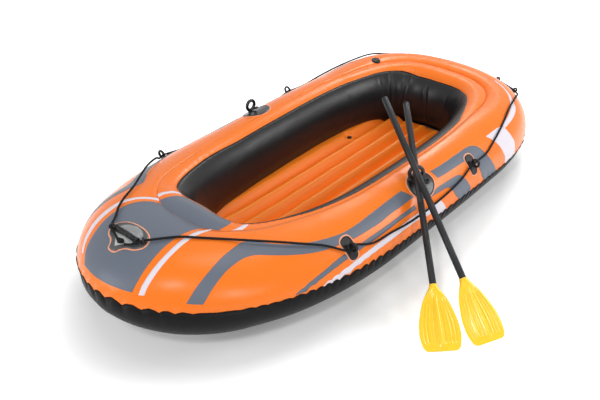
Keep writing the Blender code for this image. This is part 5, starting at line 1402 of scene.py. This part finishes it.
@dataclass
class BowFitting:
    """The three-lobed bow patch with a pale grey film of painted reflection on it, ribbed dome, folding handle and
    rope eyes.
    """

    form: HullForm
    at: tuple[float, float, float] = (-0.018, -1.055, 0.4147)
    handle_at: tuple[float, float, float] = (-0.018388, -1.052908, 0.428535)
    eyes: tuple[tuple[float, float], ...] = ((0.080, 0.015), (-0.076, -0.002))
    headings: tuple[tuple[float, float, float], ...] = ((1, 1.4, 0), (1, -0.8, 0))
    half_outline: Points = (
        (0.000, -0.071), (0.017, -0.067), (0.027, -0.051), (0.044, -0.036), (0.072, -0.024),
        (0.090, -0.002), (0.088, 0.022), (0.066, 0.045), (0.034, 0.057), (0.000, 0.060))
    reflection_outline: Points = (
        (-0.052, -0.010), (-0.030, -0.006), (0.030, -0.004), (0.046, -0.010), (0.030, -0.024),
        (0.008, -0.044),
        (0.000, -0.052), (-0.010, -0.044), (-0.032, -0.024))
    dome_width: float = 0.136
    dome_length: float = 0.056
    dome_height: float = 0.018
    dome_sink: float = 0.006
    dome_chord: float = 0.0125
    span: float = 0.112
    reach: float = 0.005
    bend: float = 0.006
    pin: float = 0.0095
    grip: float = 0.013
    grip_length: float = 0.036
    grip_shift: float = 0.022

    def build(self) -> None:
        """Build every piece of the fitting."""
        seat = self.form.seat(self.at, (1, 0, 0))
        half = np.array(self.half_outline)
        outline = np.concatenate([half, half[-2:0:-1] * (-1, 1)])
        outline = curve_through(outline, 0.0032, closed=True)
        Patch("bow_patch", seat, outline, SMOKE, Slot.SMOKE, bead=0.0010).build()
        self.panel(seat)
        self.dome(seat)
        self.handle()
        for word, (x, y), heading in zip(("port", "starboard"), self.eyes, self.headings):
            point = (self.at[0] + x, self.at[1] + y, self.at[2])
            eye = self.form.seat(point, heading)
            Eye(f"bow_rope_eye_{word}", eye.place, 0.0100, 0.0062, 0.0110, 0.020).build()

    def panel(self, seat: Seat) -> None:
        """Build the thin pale grey film in front of the handle, a painted reflection on the glossy smoked patch:
        rings of one outline, drawn in to the middle.
        """
        outline = curve_through(np.array(self.reflection_outline), 0.003, closed=True)
        middle = outline.mean(0)
        rings = ((0.0, 0.0034), (0.5, 0.0034), (0.96, 0.0034), (1.0, 0.0030),
                 (1.0, 0.0020), (0.5, 0.0020), (0.0, 0.0020))
        grid = np.stack([seat.drape(middle + (outline - middle) * share, lift) for share, lift in rings])
        Shell().grid(grid, columns_meet=True).piece("bow_patch_painted_reflection", SMOKE_PAINTED_REFLECTION, "hull", Slot.SMOKE)

    def dome(self, seat: Seat) -> None:
        """Build the aft dome: half an ellipsoid cut off at a chord.

        Its height is the ellipsoid's, raised in rounded ribs that run along its chord.
        """
        a = (np.linspace(-1, 1, 81))[None, :]
        b = (np.linspace(0, 1, 25) ** 0.8)[:, None]
        x = self.dome_width / 2 * a * (1 - 0.06 * b) * np.sqrt(np.maximum(1 - (b * 0.97) ** 2, 0)) ** 0.9
        y = self.dome_chord + (self.dome_length - self.dome_chord) * b + 0 * a
        level = np.maximum(1 - (x / (self.dome_width / 2)) ** 2 - (y / self.dome_length) ** 2, 0)
        rib = 0.0021 * np.abs(np.sin(FULL_TURN * b * 2.0)) * np.sqrt(level)
        top = (self.dome_height + self.dome_sink) * np.sqrt(level) - self.dome_sink + rib
        lift = np.maximum(0.0030 + top, -0.001)
        across = np.stack([x, y], -1)
        upper = seat.drape(across, lift)
        under = seat.drape(across, np.full(lift.shape, -0.001))
        loop = np.concatenate([upper, under[:, ::-1]], 1)
        shell = Shell().grid(loop, columns_meet=True)
        half = loop.shape[1] // 2
        for end in (0, -1):
            shell.grid(np.stack([loop[end, :half], loop[end, :half - 1:-1]]))
        shell.piece("bow_dome_moulding", SMOKE_DOME, "hull", Slot.SMOKE, ("bow_dome",))

    def handle(self) -> None:
        """Build the two ears and the bail that folds between them, with its square grip."""
        place = placed(np.array(self.handle_at), (0.99958, -0.00404, 0.02867), (-0.02895, -0.13949, 0.9898))
        for word, sign in (("port", 1), ("starboard", -1)):
            middle = sign * (self.span / 2 + 0.0045)
            turn = np.linspace(0, math.pi, 13)
            y = np.concatenate([0.008 * np.cos(turn), [-0.008, 0.008]])
            z = np.concatenate([0.007 * np.sin(turn) * 0.9, [-0.019, -0.019]])
            side = np.stack([y, z], -1)
            layers = [(-0.0045, 0.90), (-0.0040, 1.0), (0.0040, 1.0), (0.0045, 0.90)]
            rows = [np.column_stack([np.full(len(side), middle + x), side * scale]) for x, scale in layers]
            shell = Shell().grid(moved(np.stack(rows), place), columns_meet=True)
            for row in (rows[0], rows[-1]):
                centre = np.broadcast_to(row.mean(0), row.shape)
                shell.grid(moved(np.stack([row, centre]), place), columns_meet=True)
            shell.piece(f"bow_handle_ear_{word}_moulding", RUBBER, "hull", Slot.RUBBER,
                        (f"bow_handle_ear_{word}",))
        half, inset = self.span / 2, self.bend
        quarter = np.linspace(0, math.pi / 2, 9)
        first = np.stack([
            -half + inset * (0.6 + 0.4 * np.sin(quarter)), -self.reach * 0.35 * (1 - np.cos(quarter)),
            0 * quarter], -1)
        second = np.stack([
            -half + inset * (2 - np.cos(quarter)), -self.reach + self.reach * 0.4 * (1 - np.sin(quarter)),
            0 * quarter], -1)
        port = np.concatenate([[(-half - 0.007, 0, 0)], first, second])
        route = np.concatenate([port, port[::-1] * (-1, 1, 1)])
        shell = Shell().tube(moved(route, place), self.pin / 2, 16)
        x = np.array([-1, -1, -0.96, -0.92, -0.30, -0.28, 0.28, 0.30, 0.92, 0.96, 1,
                      1]) * self.grip_length / 2
        x = x + self.grip_shift
        size = np.array([0, 0.86, 0.97, 1, 1, 0.95, 0.95, 1, 1, 0.97, 0.86, 0]) * self.grip / 2
        turn = np.arange(32) / 32 * FULL_TURN
        square = 1 / (np.abs(np.cos(turn)) ** 4 + np.abs(np.sin(turn)) ** 4) ** 0.25 * 0.92
        ring = np.stack([
            np.broadcast_to(x[:, None], (12, 32)), -self.reach + size[:, None] * square * np.cos(turn),
            size[:, None] * square * np.sin(turn)], -1)
        shell.grid(moved(ring, place), columns_meet=True)
        shell.piece("bow_handle_bail", RUBBER, "carry_handle", Slot.RUBBER, ("bow_handle",))


@dataclass
class ChamberValve:
    """A screw valve: a welded flange and neck, and a cap with a knurled edge and a raised bar."""

    form: HullForm
    name: str
    at: tuple[float, float, float]
    heading: tuple[float, float, float]
    lobe: Lobe

    def build(self) -> None:
        """Build the flange and the cap, and dress the insert and flap that they hide."""
        seat = self.form.seat(self.at, self.heading, self.lobe)
        place = seat.place.copy()
        place[:3, 3] = self.at
        Shell().turned((
            (0.0145, -0.026), (0.0170, -0.026), (0.0170, -0.008), (0.0250, -0.008), (0.0250, 0.0012),
            (0.0243, 0.0021), (0.0235, 0.0025), (0.0215, 0.0025), (0.0210, 0.0021), (0.0205, 0.0025),
            (0.0150, 0.0025), (0.0145, 0.0020)), place, 64).piece(
                self.name + "_flange", RUBBER, "hull", Slot.RUBBER, (self.name + "_base",))
        rest = 0.0030
        profile = np.array([
            (0, rest - 0.008), (0.0086, rest - 0.008), (0.0086, rest), (0.0204, rest),
            (0.0210, rest + 0.0005),
            (0.0210, rest + 0.0030), (0.0203, rest + 0.0038), (0.0190, rest + 0.0040),
            (0.0180, rest + 0.0034),
            (0.0060, rest + 0.0034), (0, rest + 0.0034)])
        turn = np.arange(144) / 144 * FULL_TURN
        knurl = 1 - 0.018 * (np.abs(np.sin(turn * 18)) < 0.35)
        edge = (profile[:, 0] > 0.0200)[:, None]
        radius = profile[:, :1] * np.where(edge, knurl[None, :], 1.0)
        cap = np.stack([radius * np.cos(turn), radius * np.sin(turn),
                        np.broadcast_to(profile[:, 1:], radius.shape)], -1)
        shell = Shell().grid(moved(cap, place), columns_meet=True)
        bar = np.array([(-0.0150, 0), (-0.0150, 0.0017), (-0.0142, 0.0022), (0.0142, 0.0022),
                        (0.0150, 0.0017),
                        (0.0150, 0)])
        rows = []
        for y, scale in ((-0.0026, 0.0), (-0.0026, 0.7), (-0.0018, 1.0),
                         (0.0018, 1.0), (0.0026, 0.7), (0.0026, 0.0)):
            rows.append(np.column_stack([bar[:, 0] * (1 if scale else 0.9), np.full(6, y),
                                         rest + 0.0033 + bar[:, 1] * scale]))
        shell.grid(moved(np.stack(rows), place), columns_meet=True)
        shell.piece(self.name + "_screw_cap", RUBBER, self.name + "_lid", Slot.RUBBER, (self.name + "_cap",))
        for part in ("insert", "flap"):
            dress_node(f"{self.name}_{part}", RUBBER)


def dress_node(node: str, finish: Finish) -> None:
    """Give a CAD node that stays the finish of its kind."""
    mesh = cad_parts[node].data
    mesh.materials.clear()
    mesh.materials.append(finish.material())


@dataclass
class FloorValve:
    """The small press-in valve, on a flat of the ribbed floor."""

    at: tuple[float, float, float] = (-0.231, 0.480, 0.064)

    def build(self) -> None:
        """Build its base and its plug as turned solids."""
        place = np.eye(4)
        place[:3, 3] = self.at
        Shell().turned((
            (0.006, -0.022), (0.0085, -0.022), (0.0085, 0.0), (0.0125, 0.0), (0.0130, 0.0006),
            (0.0130, 0.0022),
            (0.0122, 0.0030), (0.0068, 0.0030), (0.006, 0.0024)), place, 48).piece(
                "floor_valve_flange", RUBBER, "hull", Slot.RUBBER, ("floor_valve_base",))
        Shell().turned((
            (0, -0.0047), (0.0050, -0.0047), (0.0056, 0.0033), (0.0096, 0.0033), (0.0100, 0.0038),
            (0.0096, 0.0052), (0.0080, 0.0059), (0.0040, 0.0062), (0, 0.0063)), place, 48).piece(
                "floor_valve_stopper", RUBBER, "floor_plug", Slot.RUBBER, ("floor_valve_plug",))


# ---------------------------------------------------------------- oars and rope


@dataclass
class Oar:
    """An oar in two fluted tubes that push together, with a ribbed blade and an end cap."""

    name: str
    tip: tuple[float, float, float]
    through: tuple[float, float, float]
    length: float = 1.070
    diameter: float = 0.0268
    wall: float = 0.0018
    blade_length: float = 0.2475
    blade_width: float = 0.154
    blade_thickness: float = 0.009
    ridge: float = 0.006
    socket_length: float = 0.006
    socket_wall: float = 0.0025
    handle_tube: float = 0.480
    overlap: float = 0.060
    flutes: int = 8
    tip_corner: float = 0.016
    flare: Points = ((0, 0.84), (0.12, 0.95), (0.22, 1.0), (0.33, 0.99), (0.44, 0.95), (0.54, 0.87),
                     (0.65, 0.77), (0.76, 0.64), (0.86, 0.47), (0.94, 0.31), (1, 0.215))

    def place(self) -> Array:
        """Give the oar's place: Y from the tip of the blade to the handle, and X level."""
        along = np.array(self.through) - np.array(self.tip)
        along /= np.linalg.norm(along)
        across = np.cross(along, (0, 0, 1))
        across /= np.linalg.norm(across)
        place = np.eye(4)
        place[:3, 0], place[:3, 1], place[:3, 2] = across, along, np.cross(across, along)
        place[:3, 3] = self.tip
        return place

    def blade(self) -> None:
        """Build the blade, lofted from its round-cornered tip to a round socket.

        A section is x = half width * cos, and z = a flat bar that turns round toward the
        socket; the half width follows the flare. The upper side adds a middle ridge, a bell in
        x, and grooves at fixed shares of the width, which so fan out from the socket.
        """
        rows, sides = 110, 128
        y = self.blade_length * (np.linspace(0, 1, rows) ** 1.25)[:, None]
        y = np.concatenate([y, [[self.blade_length + self.socket_length * 0.5]],
                            [[self.blade_length + self.socket_length]]])
        along = np.minimum(y / self.blade_length, 1.0)
        socket = self.diameter / 2 + 0.0004 + self.socket_wall
        flare = curve_through(self.flare, 0.01)
        half = np.maximum(self.blade_width / 2 * np.interp(along, flare[:, 0], flare[:, 1]), socket)
        corner = np.clip(1 - y / self.tip_corner, 0, 1)
        half = half - self.tip_corner * (1 - np.sqrt(1 - corner ** 2))
        round_ = smooth_step((along - 0.72) / 0.28)
        turn = (np.arange(sides) / sides * FULL_TURN)[None, :]
        x = half * np.cos(turn)
        sine = np.sin(turn)
        edge = self.blade_thickness / 2
        flat = np.sign(sine) * np.abs(sine) ** 0.5 * edge
        spread = x / half
        ridge = self.ridge * np.exp(-(x / 0.010) ** 2)
        fade = smooth_step((along - 0.09) / 0.06) * smooth_step((0.90 - along) / 0.20)
        groove = sum(np.exp(-((np.abs(spread) - at) / 0.040) ** 2) for at in (0.22, 0.40, 0.58, 0.76))
        groove = -0.0042 * groove * fade
        swell_ribs = 0.0012 * np.cos(spread * math.pi * 5) * (1 - spread ** 2) * fade
        top = (sine > 0.05) * ((ridge + groove + swell_ribs) * np.minimum(along / 0.12, 1))
        under = (sine < -0.05) * (-groove * 0.5)
        z = (flat + top + under) * (1 - round_) + (edge * (1 - round_) + socket * round_) * sine * round_
        points = np.stack([x, np.broadcast_to(y, x.shape), z], -1)
        bore = self.diameter / 2 + 0.0004
        mouth = points[-1:].copy()
        scale = bore / socket
        inner_rim = mouth * (scale, 1, scale)
        inner_end = inner_rim.copy()
        inner_end[..., 1] = self.blade_length - 0.0205
        inner_pole = inner_end * (0, 1, 0)
        tip_pole = points[:1] * (0, 1, 0)
        loop = np.concatenate([tip_pole, points, inner_rim, inner_end, inner_pole])
        Shell().grid(moved(loop, self.place()), columns_meet=True).piece(
            self.name + "_blade_moulding", BLADE, self.name + "_lower", Slot.BLADE, (self.name + "_blade",))

    def fluted(self, start: float, end: float, neck: tuple[float, float] | None) -> Shell:
        """Build a tube with rounded flutes.

        The outside radius falls by 0.09 * (1 - |sin|) squared of the radius at each flute, which
        cuts narrow grooves between rounded ribs.

        Args:
            start: the distance from the blade's tip at which it starts.
            end: where it ends.
            neck: the radius and end of the narrower part that slides into the other tube.

        Returns:
            The shell.
        """
        count = self.flutes * 8
        turn = np.arange(count) / count * FULL_TURN
        shape = 1 - 0.09 * (1 - np.abs(np.sin(self.flutes / 2 * turn))) ** 2
        radius, inside = self.diameter / 2, self.diameter / 2 - self.wall
        stops = [(radius - 0.0006, start, 1), (radius, start + 0.0006, 1), (radius, end - 0.0006, 1),
                 (radius - 0.0006, end, 1)]
        if neck:
            stops += [(neck[0], end, 0), (neck[0], neck[1], 0), (neck[0] - self.wall, neck[1], 0),
                      (neck[0] - self.wall, start, 0)]
        else:
            stops += [(inside, end, 0), (inside, start, 0)]
        rows = []
        for size, y, outside in stops:
            reach = size * (shape if outside else np.ones(count))
            rows.append(np.stack([reach * np.cos(turn), np.full(count, y), reach * np.sin(turn)], -1))
        return Shell().grid(moved(np.stack(rows), self.place()), rows_meet=True, columns_meet=True)

    def build(self) -> None:
        """Build the blade, both tubes and the cap."""
        self.blade()
        joint = self.length - self.handle_tube
        inside = self.diameter / 2 - self.wall
        end = self.length - 0.004
        lower, upper = self.name + "_lower", self.name + "_upper"
        self.fluted(self.blade_length - 0.020, joint - 0.0003, (inside - 0.0004, joint + self.overlap)).piece(
            self.name + "_blade_tube_fluted", SHAFT, lower, Slot.TUBE, (self.name + "_blade_tube",))
        self.fluted(joint, end - 0.0003, None).piece(
            self.name + "_handle_tube_fluted", SHAFT, upper, Slot.TUBE, (self.name + "_handle_tube",))
        turn = placed(np.zeros(3), (1, 0, 0), (0, 1, 0))
        radius = self.diameter / 2
        Shell().turned((
            (0, end - 0.020), (inside - 0.0006, end - 0.020), (inside - 0.0004, end - 0.0195),
            (inside - 0.0004, end), (radius - 0.0002, end), (radius, end + 0.0005),
            (radius, self.length - 0.0018),
            (radius - 0.0010, self.length - 0.0005), (radius - 0.0024, self.length), (0, self.length)),
            self.place() @ turn, 64).piece(
                self.name + "_end_cap_moulding", CAP, upper, Slot.RUBBER, (self.name + "_end_cap",))


@dataclass
class GrabLine:
    """The rope round the boat, from the bow knot through every eye and back to the knot."""

    diameter: float = 0.008
    twist: float = 0.030
    port_fore: tuple[tuple[float, float, float], ...] = (
        (0.0172, -1.0915, 0.4190), (0.0360, -1.0763, 0.4195), (0.0532, -1.0547, 0.4261),
        (0.0626, -1.0420, 0.4286), (0.0720, -1.0290, 0.4290), (0.1278, -0.9430, 0.4208),
        (0.1788, -0.8920, 0.4131), (0.2309, -0.8402, 0.4042), (0.3029, -0.7760, 0.3960),
        (0.3705, -0.7013, 0.3792), (0.4224, -0.6328, 0.3574), (0.4714, -0.5551, 0.3266),
        (0.5236, -0.4846, 0.2855), (0.5265, -0.4629, 0.2898), (0.5236, -0.4408, 0.2900))
    starboard_fore: tuple[tuple[float, float, float], ...] = (
        (-0.0172, -1.0915, 0.4190), (-0.0518, -1.0771, 0.4176), (-0.0827, -1.0696, 0.4226),
        (-0.0954, -1.0600, 0.4244), (-0.1079, -1.0499, 0.4242), (-0.1406, -1.0132, 0.4180),
        (-0.1833, -0.9669, 0.4178), (-0.2209, -0.9173, 0.4127), (-0.2518, -0.8658, 0.4069),
        (-0.2818, -0.8201, 0.4015), (-0.3341, -0.7535, 0.3899), (-0.3895, -0.6839, 0.3749),
        (-0.4354, -0.6220, 0.3546), (-0.4706, -0.5722, 0.3323), (-0.5154, -0.5286, 0.2923),
        (-0.5181, -0.5069, 0.2965), (-0.5154, -0.4848, 0.2965))
    aft: tuple[tuple[float, float, float], ...] = (
        (0.5437, -0.3576, 0.2589), (0.5521, -0.2500, 0.2507), (0.5607, -0.1300, 0.2396),
        (0.5641, -0.0013, 0.2372), (0.5644, 0.1256, 0.2409), (0.5607, 0.2431, 0.2504),
        (0.5522, 0.3400, 0.2752), (0.5549, 0.3620, 0.2775), (0.5522, 0.3840, 0.2754),
        (0.5474, 0.4801, 0.2729), (0.5275, 0.5891, 0.2942), (0.5016, 0.7000, 0.3142),
        (0.4652, 0.8203, 0.3318), (0.4384, 0.9216, 0.3328), (0.4034, 1.0331, 0.3090),
        (0.3620, 1.1080, 0.2805), (0.3471, 1.1176, 0.2839), (0.3304, 1.1245, 0.2851),
        (0.2851, 1.1482, 0.2832), (0.2330, 1.1736, 0.2819), (0.2163, 1.1801, 0.2844),
        (0.1985, 1.1835, 0.2845), (0.1097, 1.1984, 0.2785))
    stern: tuple[float, float, float] = (0.0, 1.2067, 0.2794)
    knot_at: tuple[float, float, float] = (0.0, -1.092, 0.4185)

    def laid(self, path: Array) -> Shell:
        """Build a three-strand cord along a path.

        The radius goes round as 1 + 0.12 * |cos(1.5 * (angle - twist))| of half the
        diameter, which makes three lobes that turn once in each twist's length.

        Args:
            path: the points of its middle line, evenly spaced.

        Returns:
            The shell, closed at both ends, with u along the cord in metres and v round it.
        """
        sides = 14
        along = np.gradient(path, axis=0)
        along /= np.linalg.norm(along, axis=1, keepdims=True)
        across = np.cross(along, reference_for(along))
        across /= np.linalg.norm(across, axis=1, keepdims=True)
        up = np.cross(across, along)
        travel = np.concatenate([[0], np.cumsum(np.linalg.norm(np.diff(path, axis=0), axis=1))])
        turn = (np.arange(sides) / sides * FULL_TURN)[None, :]
        spin = turn - FULL_TURN * travel[:, None] / self.twist
        radius = self.diameter / 2 * (1.00 + 0.12 * np.abs(np.cos(1.5 * spin)))
        ring = path[:, None] + across[:, None] * (radius * np.cos(turn))[..., None] \
            + up[:, None] * (radius * np.sin(turn))[..., None]
        ends = [np.broadcast_to(p, (1, sides, 3)) for p in (path[0], path[-1])]
        u = np.concatenate([travel[:1], travel, travel[-1:]])[:, None]
        v = np.linspace(0, 1, sides + 1)[None, :]
        uv = np.stack(np.broadcast_arrays(u, v), -1)
        return Shell().grid(np.concatenate([ends[0], ring, ends[1]]), columns_meet=True, uv=uv)

    def build(self) -> None:
        port = [*self.port_fore, *self.aft]
        starboard = [*self.starboard_fore, *((-x, y, z) for x, y, z in self.aft)]
        route = np.array([*starboard, self.stern, *reversed(port)])
        path = curve_through(route, 0.0016)
        rope = self.laid(path).piece("grab_line_cord", ROPE, "hull", Slot.ROPE, ("grab_line",))
        knot = self.knot()

    def knot(self) -> bpy.types.Object:
        """Build the overhand knot: a trefoil path, (sin t + 2 sin 2t, cos t - 2 cos 2t, -sin 3t)."""
        t = np.linspace(0, FULL_TURN, 241)[:-1]
        shape = np.stack([np.sin(t) + 2 * np.sin(2 * t), np.cos(t) - 2 * np.cos(2 * t), -np.sin(3 * t)], -1)
        local = shape * (0.0040, 0.0030, 0.0034)
        place = placed(np.array(self.knot_at) + (0, 0, 0.0085), (1, 0, 0), (0, -0.16, 0.987))
        shell = Shell().tube(moved(local, place), self.diameter / 2 * 0.98, 14, closed=True)
        shell.turned(((0, -0.0085), (0.0065, -0.0075), (0.0080, -0.003), (0.0070, 0.003), (0.004, 0.006),
                      (0, 0.0065)), place, 24)
        return shell.piece("grab_line_knot_cord", ROPE, "hull", Slot.ROPE, ("grab_line_knot",))


# ---------------------------------------------------------------- the studio


def sees_background(tree: bpy.types.NodeTree) -> bpy.types.NodeSocket:
    """Give 1 for rays from the camera, off a gloss or through glass, and 0 for rays that light the boat."""
    path = tree.nodes.new("ShaderNodeLightPath")
    shiny = linked(tree, "ShaderNodeMath", operation="MAXIMUM", in_0=path.outputs["Is Camera Ray"],
                   in_1=path.outputs["Is Glossy Ray"])
    return linked(tree, "ShaderNodeMath", operation="MAXIMUM", in_0=shiny.outputs[0],
                  in_1=path.outputs["Is Transmission Ray"]).outputs[0]


@dataclass
class Studio:
    """The pale floor, the soft lamps and the camera at the photograph's angle."""

    azimuth: float = 42.3277
    elevation: float = 34.8358
    roll: float = -0.9136
    lens: float = 42.256
    position: tuple[float, float, float] = (1.75192, -2.09274, 1.92117)
    floor_size: float = 30.0
    floor_lift: float = 0.10
    world_strength: float = 0.34

    def camera(self) -> None:
        """Place the camera: it looks back along (sin a cos e, -cos a cos e, sin e), rolled."""
        a, e, r = (math.radians(v) for v in (self.azimuth, self.elevation, self.roll))
        back = np.array([math.sin(a) * math.cos(e), -math.cos(a) * math.cos(e), math.sin(e)])
        right = np.array([math.cos(a), math.sin(a), 0.0])
        up = np.cross(back, right)
        place = np.eye(4)
        place[:3, 0] = math.cos(r) * right + math.sin(r) * up
        place[:3, 1] = -math.sin(r) * right + math.cos(r) * up
        place[:3, 2] = back
        place[:3, 3] = self.position
        data = bpy.data.cameras.new("photo_camera")
        data.lens, data.sensor_width, data.clip_end = self.lens, 36.0, 100.0
        camera = bpy.data.objects.new("photo_camera", data)
        camera.matrix_world = Matrix(place.tolist())
        bpy.context.scene.collection.objects.link(camera)
        bpy.context.scene.camera = camera

    def lamp(self, name: str, place: tuple[float, float, float], target: tuple[float, float, float],
             size: float, power: float) -> None:
        """Hang a square soft lamp that faces a target."""
        data = bpy.data.lights.new(name, "AREA")
        data.shape, data.size, data.energy = "SQUARE", size, power
        lamp = bpy.data.objects.new(name, data)
        back = np.array(place) - np.array(target)
        lamp.matrix_world = Matrix(placed(np.array(place), (1, 0.3, 0), back).tolist())
        bpy.context.scene.collection.objects.link(lamp)

    def floor(self) -> None:
        """Lay the floor: white and matt, lifted toward white for the camera, and more so far out."""
        half = self.floor_size / 2
        corners = [(-half, -half, 0), (half, -half, 0), (half, half, 0), (-half, half, 0)]
        mesh = bpy.data.meshes.new("studio_floor")
        mesh.from_pydata(corners, [], [(0, 1, 2, 3)])
        floor = bpy.data.objects.new("studio_floor", mesh)
        bpy.context.scene.collection.objects.link(floor)
        made = bpy.data.materials.new("studio_paper")
        made.use_nodes = True
        tree = made.node_tree
        shader = tree.nodes["Principled BSDF"]
        shader.inputs["Base Color"].default_value = (0.92, 0.92, 0.92, 1)
        shader.inputs["Roughness"].default_value = 0.9
        shader.inputs["Specular IOR Level"].default_value = 0.0
        oval = linked(tree, "ShaderNodeVectorMath", operation="MULTIPLY", in_1=(1.60, 0.90, 0.0),
                      in_0=linked(tree, "ShaderNodeTexCoord").outputs["Object"])
        away = linked(tree, "ShaderNodeVectorMath", operation="LENGTH", in_0=oval.outputs[0])
        fade = linked(tree, "ShaderNodeMapRange", in_0=away.outputs["Value"], in_1=1.08, in_2=1.70,
                      in_3=self.floor_lift, in_4=1.0)
        lift = linked(tree, "ShaderNodeMath", operation="MULTIPLY", in_0=sees_background(tree),
                      in_1=fade.outputs[0])
        glow = linked(tree, "ShaderNodeEmission", in_0=(1, 1, 1, 1))
        tree.links.new(lift.outputs[0], glow.inputs["Strength"])
        both = linked(tree, "ShaderNodeAddShader")
        tree.links.new(shader.outputs[0], both.inputs[0])
        tree.links.new(glow.outputs[0], both.inputs[1])
        tree.links.new(both.outputs[0], tree.nodes["Material Output"].inputs["Surface"])
        mesh.materials.append(made)

    def world(self) -> None:
        """Light the scene evenly, and show plain white behind the floor."""
        world = bpy.data.worlds.new("studio_world")
        bpy.context.scene.world = world
        world.use_nodes = True
        tree = world.node_tree
        back = tree.nodes["Background"]
        back.inputs["Color"].default_value = (1, 1, 1, 1)
        strength = linked(tree, "ShaderNodeMath", operation="MULTIPLY_ADD", in_0=sees_background(tree),
                          in_1=1 - self.world_strength, in_2=self.world_strength)
        tree.links.new(strength.outputs[0], back.inputs["Strength"])

    def build(self) -> None:
        """Set up the whole studio."""
        bpy.context.scene.view_settings.view_transform = "Standard"
        self.camera()
        self.floor()
        self.world()
        self.lamp("key_softbox", (-1.0, 3.2, 2.8), (0.0, 0.0, 0.2), 1.0, 40)
        self.lamp("top_softbox", (0.2, 0.3, 3.9), (0.0, 0.2, 0.1), 1.6, 32)
        self.lamp("front_softbox", (1.45, -3.1, 3.45), (0.2, -0.6, 0.3), 0.45, 40)
        self.lamp("side_softbox", (4.0, -1.7, 1.9), (0.4, -0.4, 0.3), 0.9, 36)
        self.lamp("bow_softbox", (-1.2, -3.5, 1.3), (0.0, -0.2, 0.2), 1.1, 30)
        self.lamp("stern_softbox", (2.7, 2.3, 1.9), (0.0, 0.0, 0.2), 1.2, 44)


def main() -> None:
    """Build the boat from its camera and rope to its tubes, fittings and oars."""
    logging.basicConfig(level=logging.INFO, format="%(name)s: %(message)s")
    Studio().build()
    GrabLine().build()
    form = HullForm()
    Tubes(form).build()
    Print(form).build()
    AirFloor(form).build()
    Holders(form).build()
    Rowlock(form, Side.PORT, (0.478, 0.012, 0.367845), (-0.7118, 0.70238, 0)).build()
    Rowlock(form, Side.STARBOARD, (-0.478, 0.012, 0.3560), (1, 0, 0), (0.4456, 0.0150, 0.3345),
            ring_radius=0.0240, ring_height=0.0433).build()
    BowFitting(form).build()
    ChamberValve(form, "outer_valve", (-0.352006, 0.851907, 0.340077), (1, 0, 0), Lobe.OUTER).build()
    ChamberValve(form, "inner_valve", (0.263293, 0.52, 0.225), (0, 1, 0), Lobe.INNER).build()
    FloorValve().build()
    Oar("port_oar", (0.931, -0.435, 0.004708), (0.478, 0.012, 0.367845)).build()
    Oar("spare_oar", (1.0377, -0.2806, 0.004572), (0.470, -0.006, 0.41483)).build()


if __name__ == "__main__":
    main()
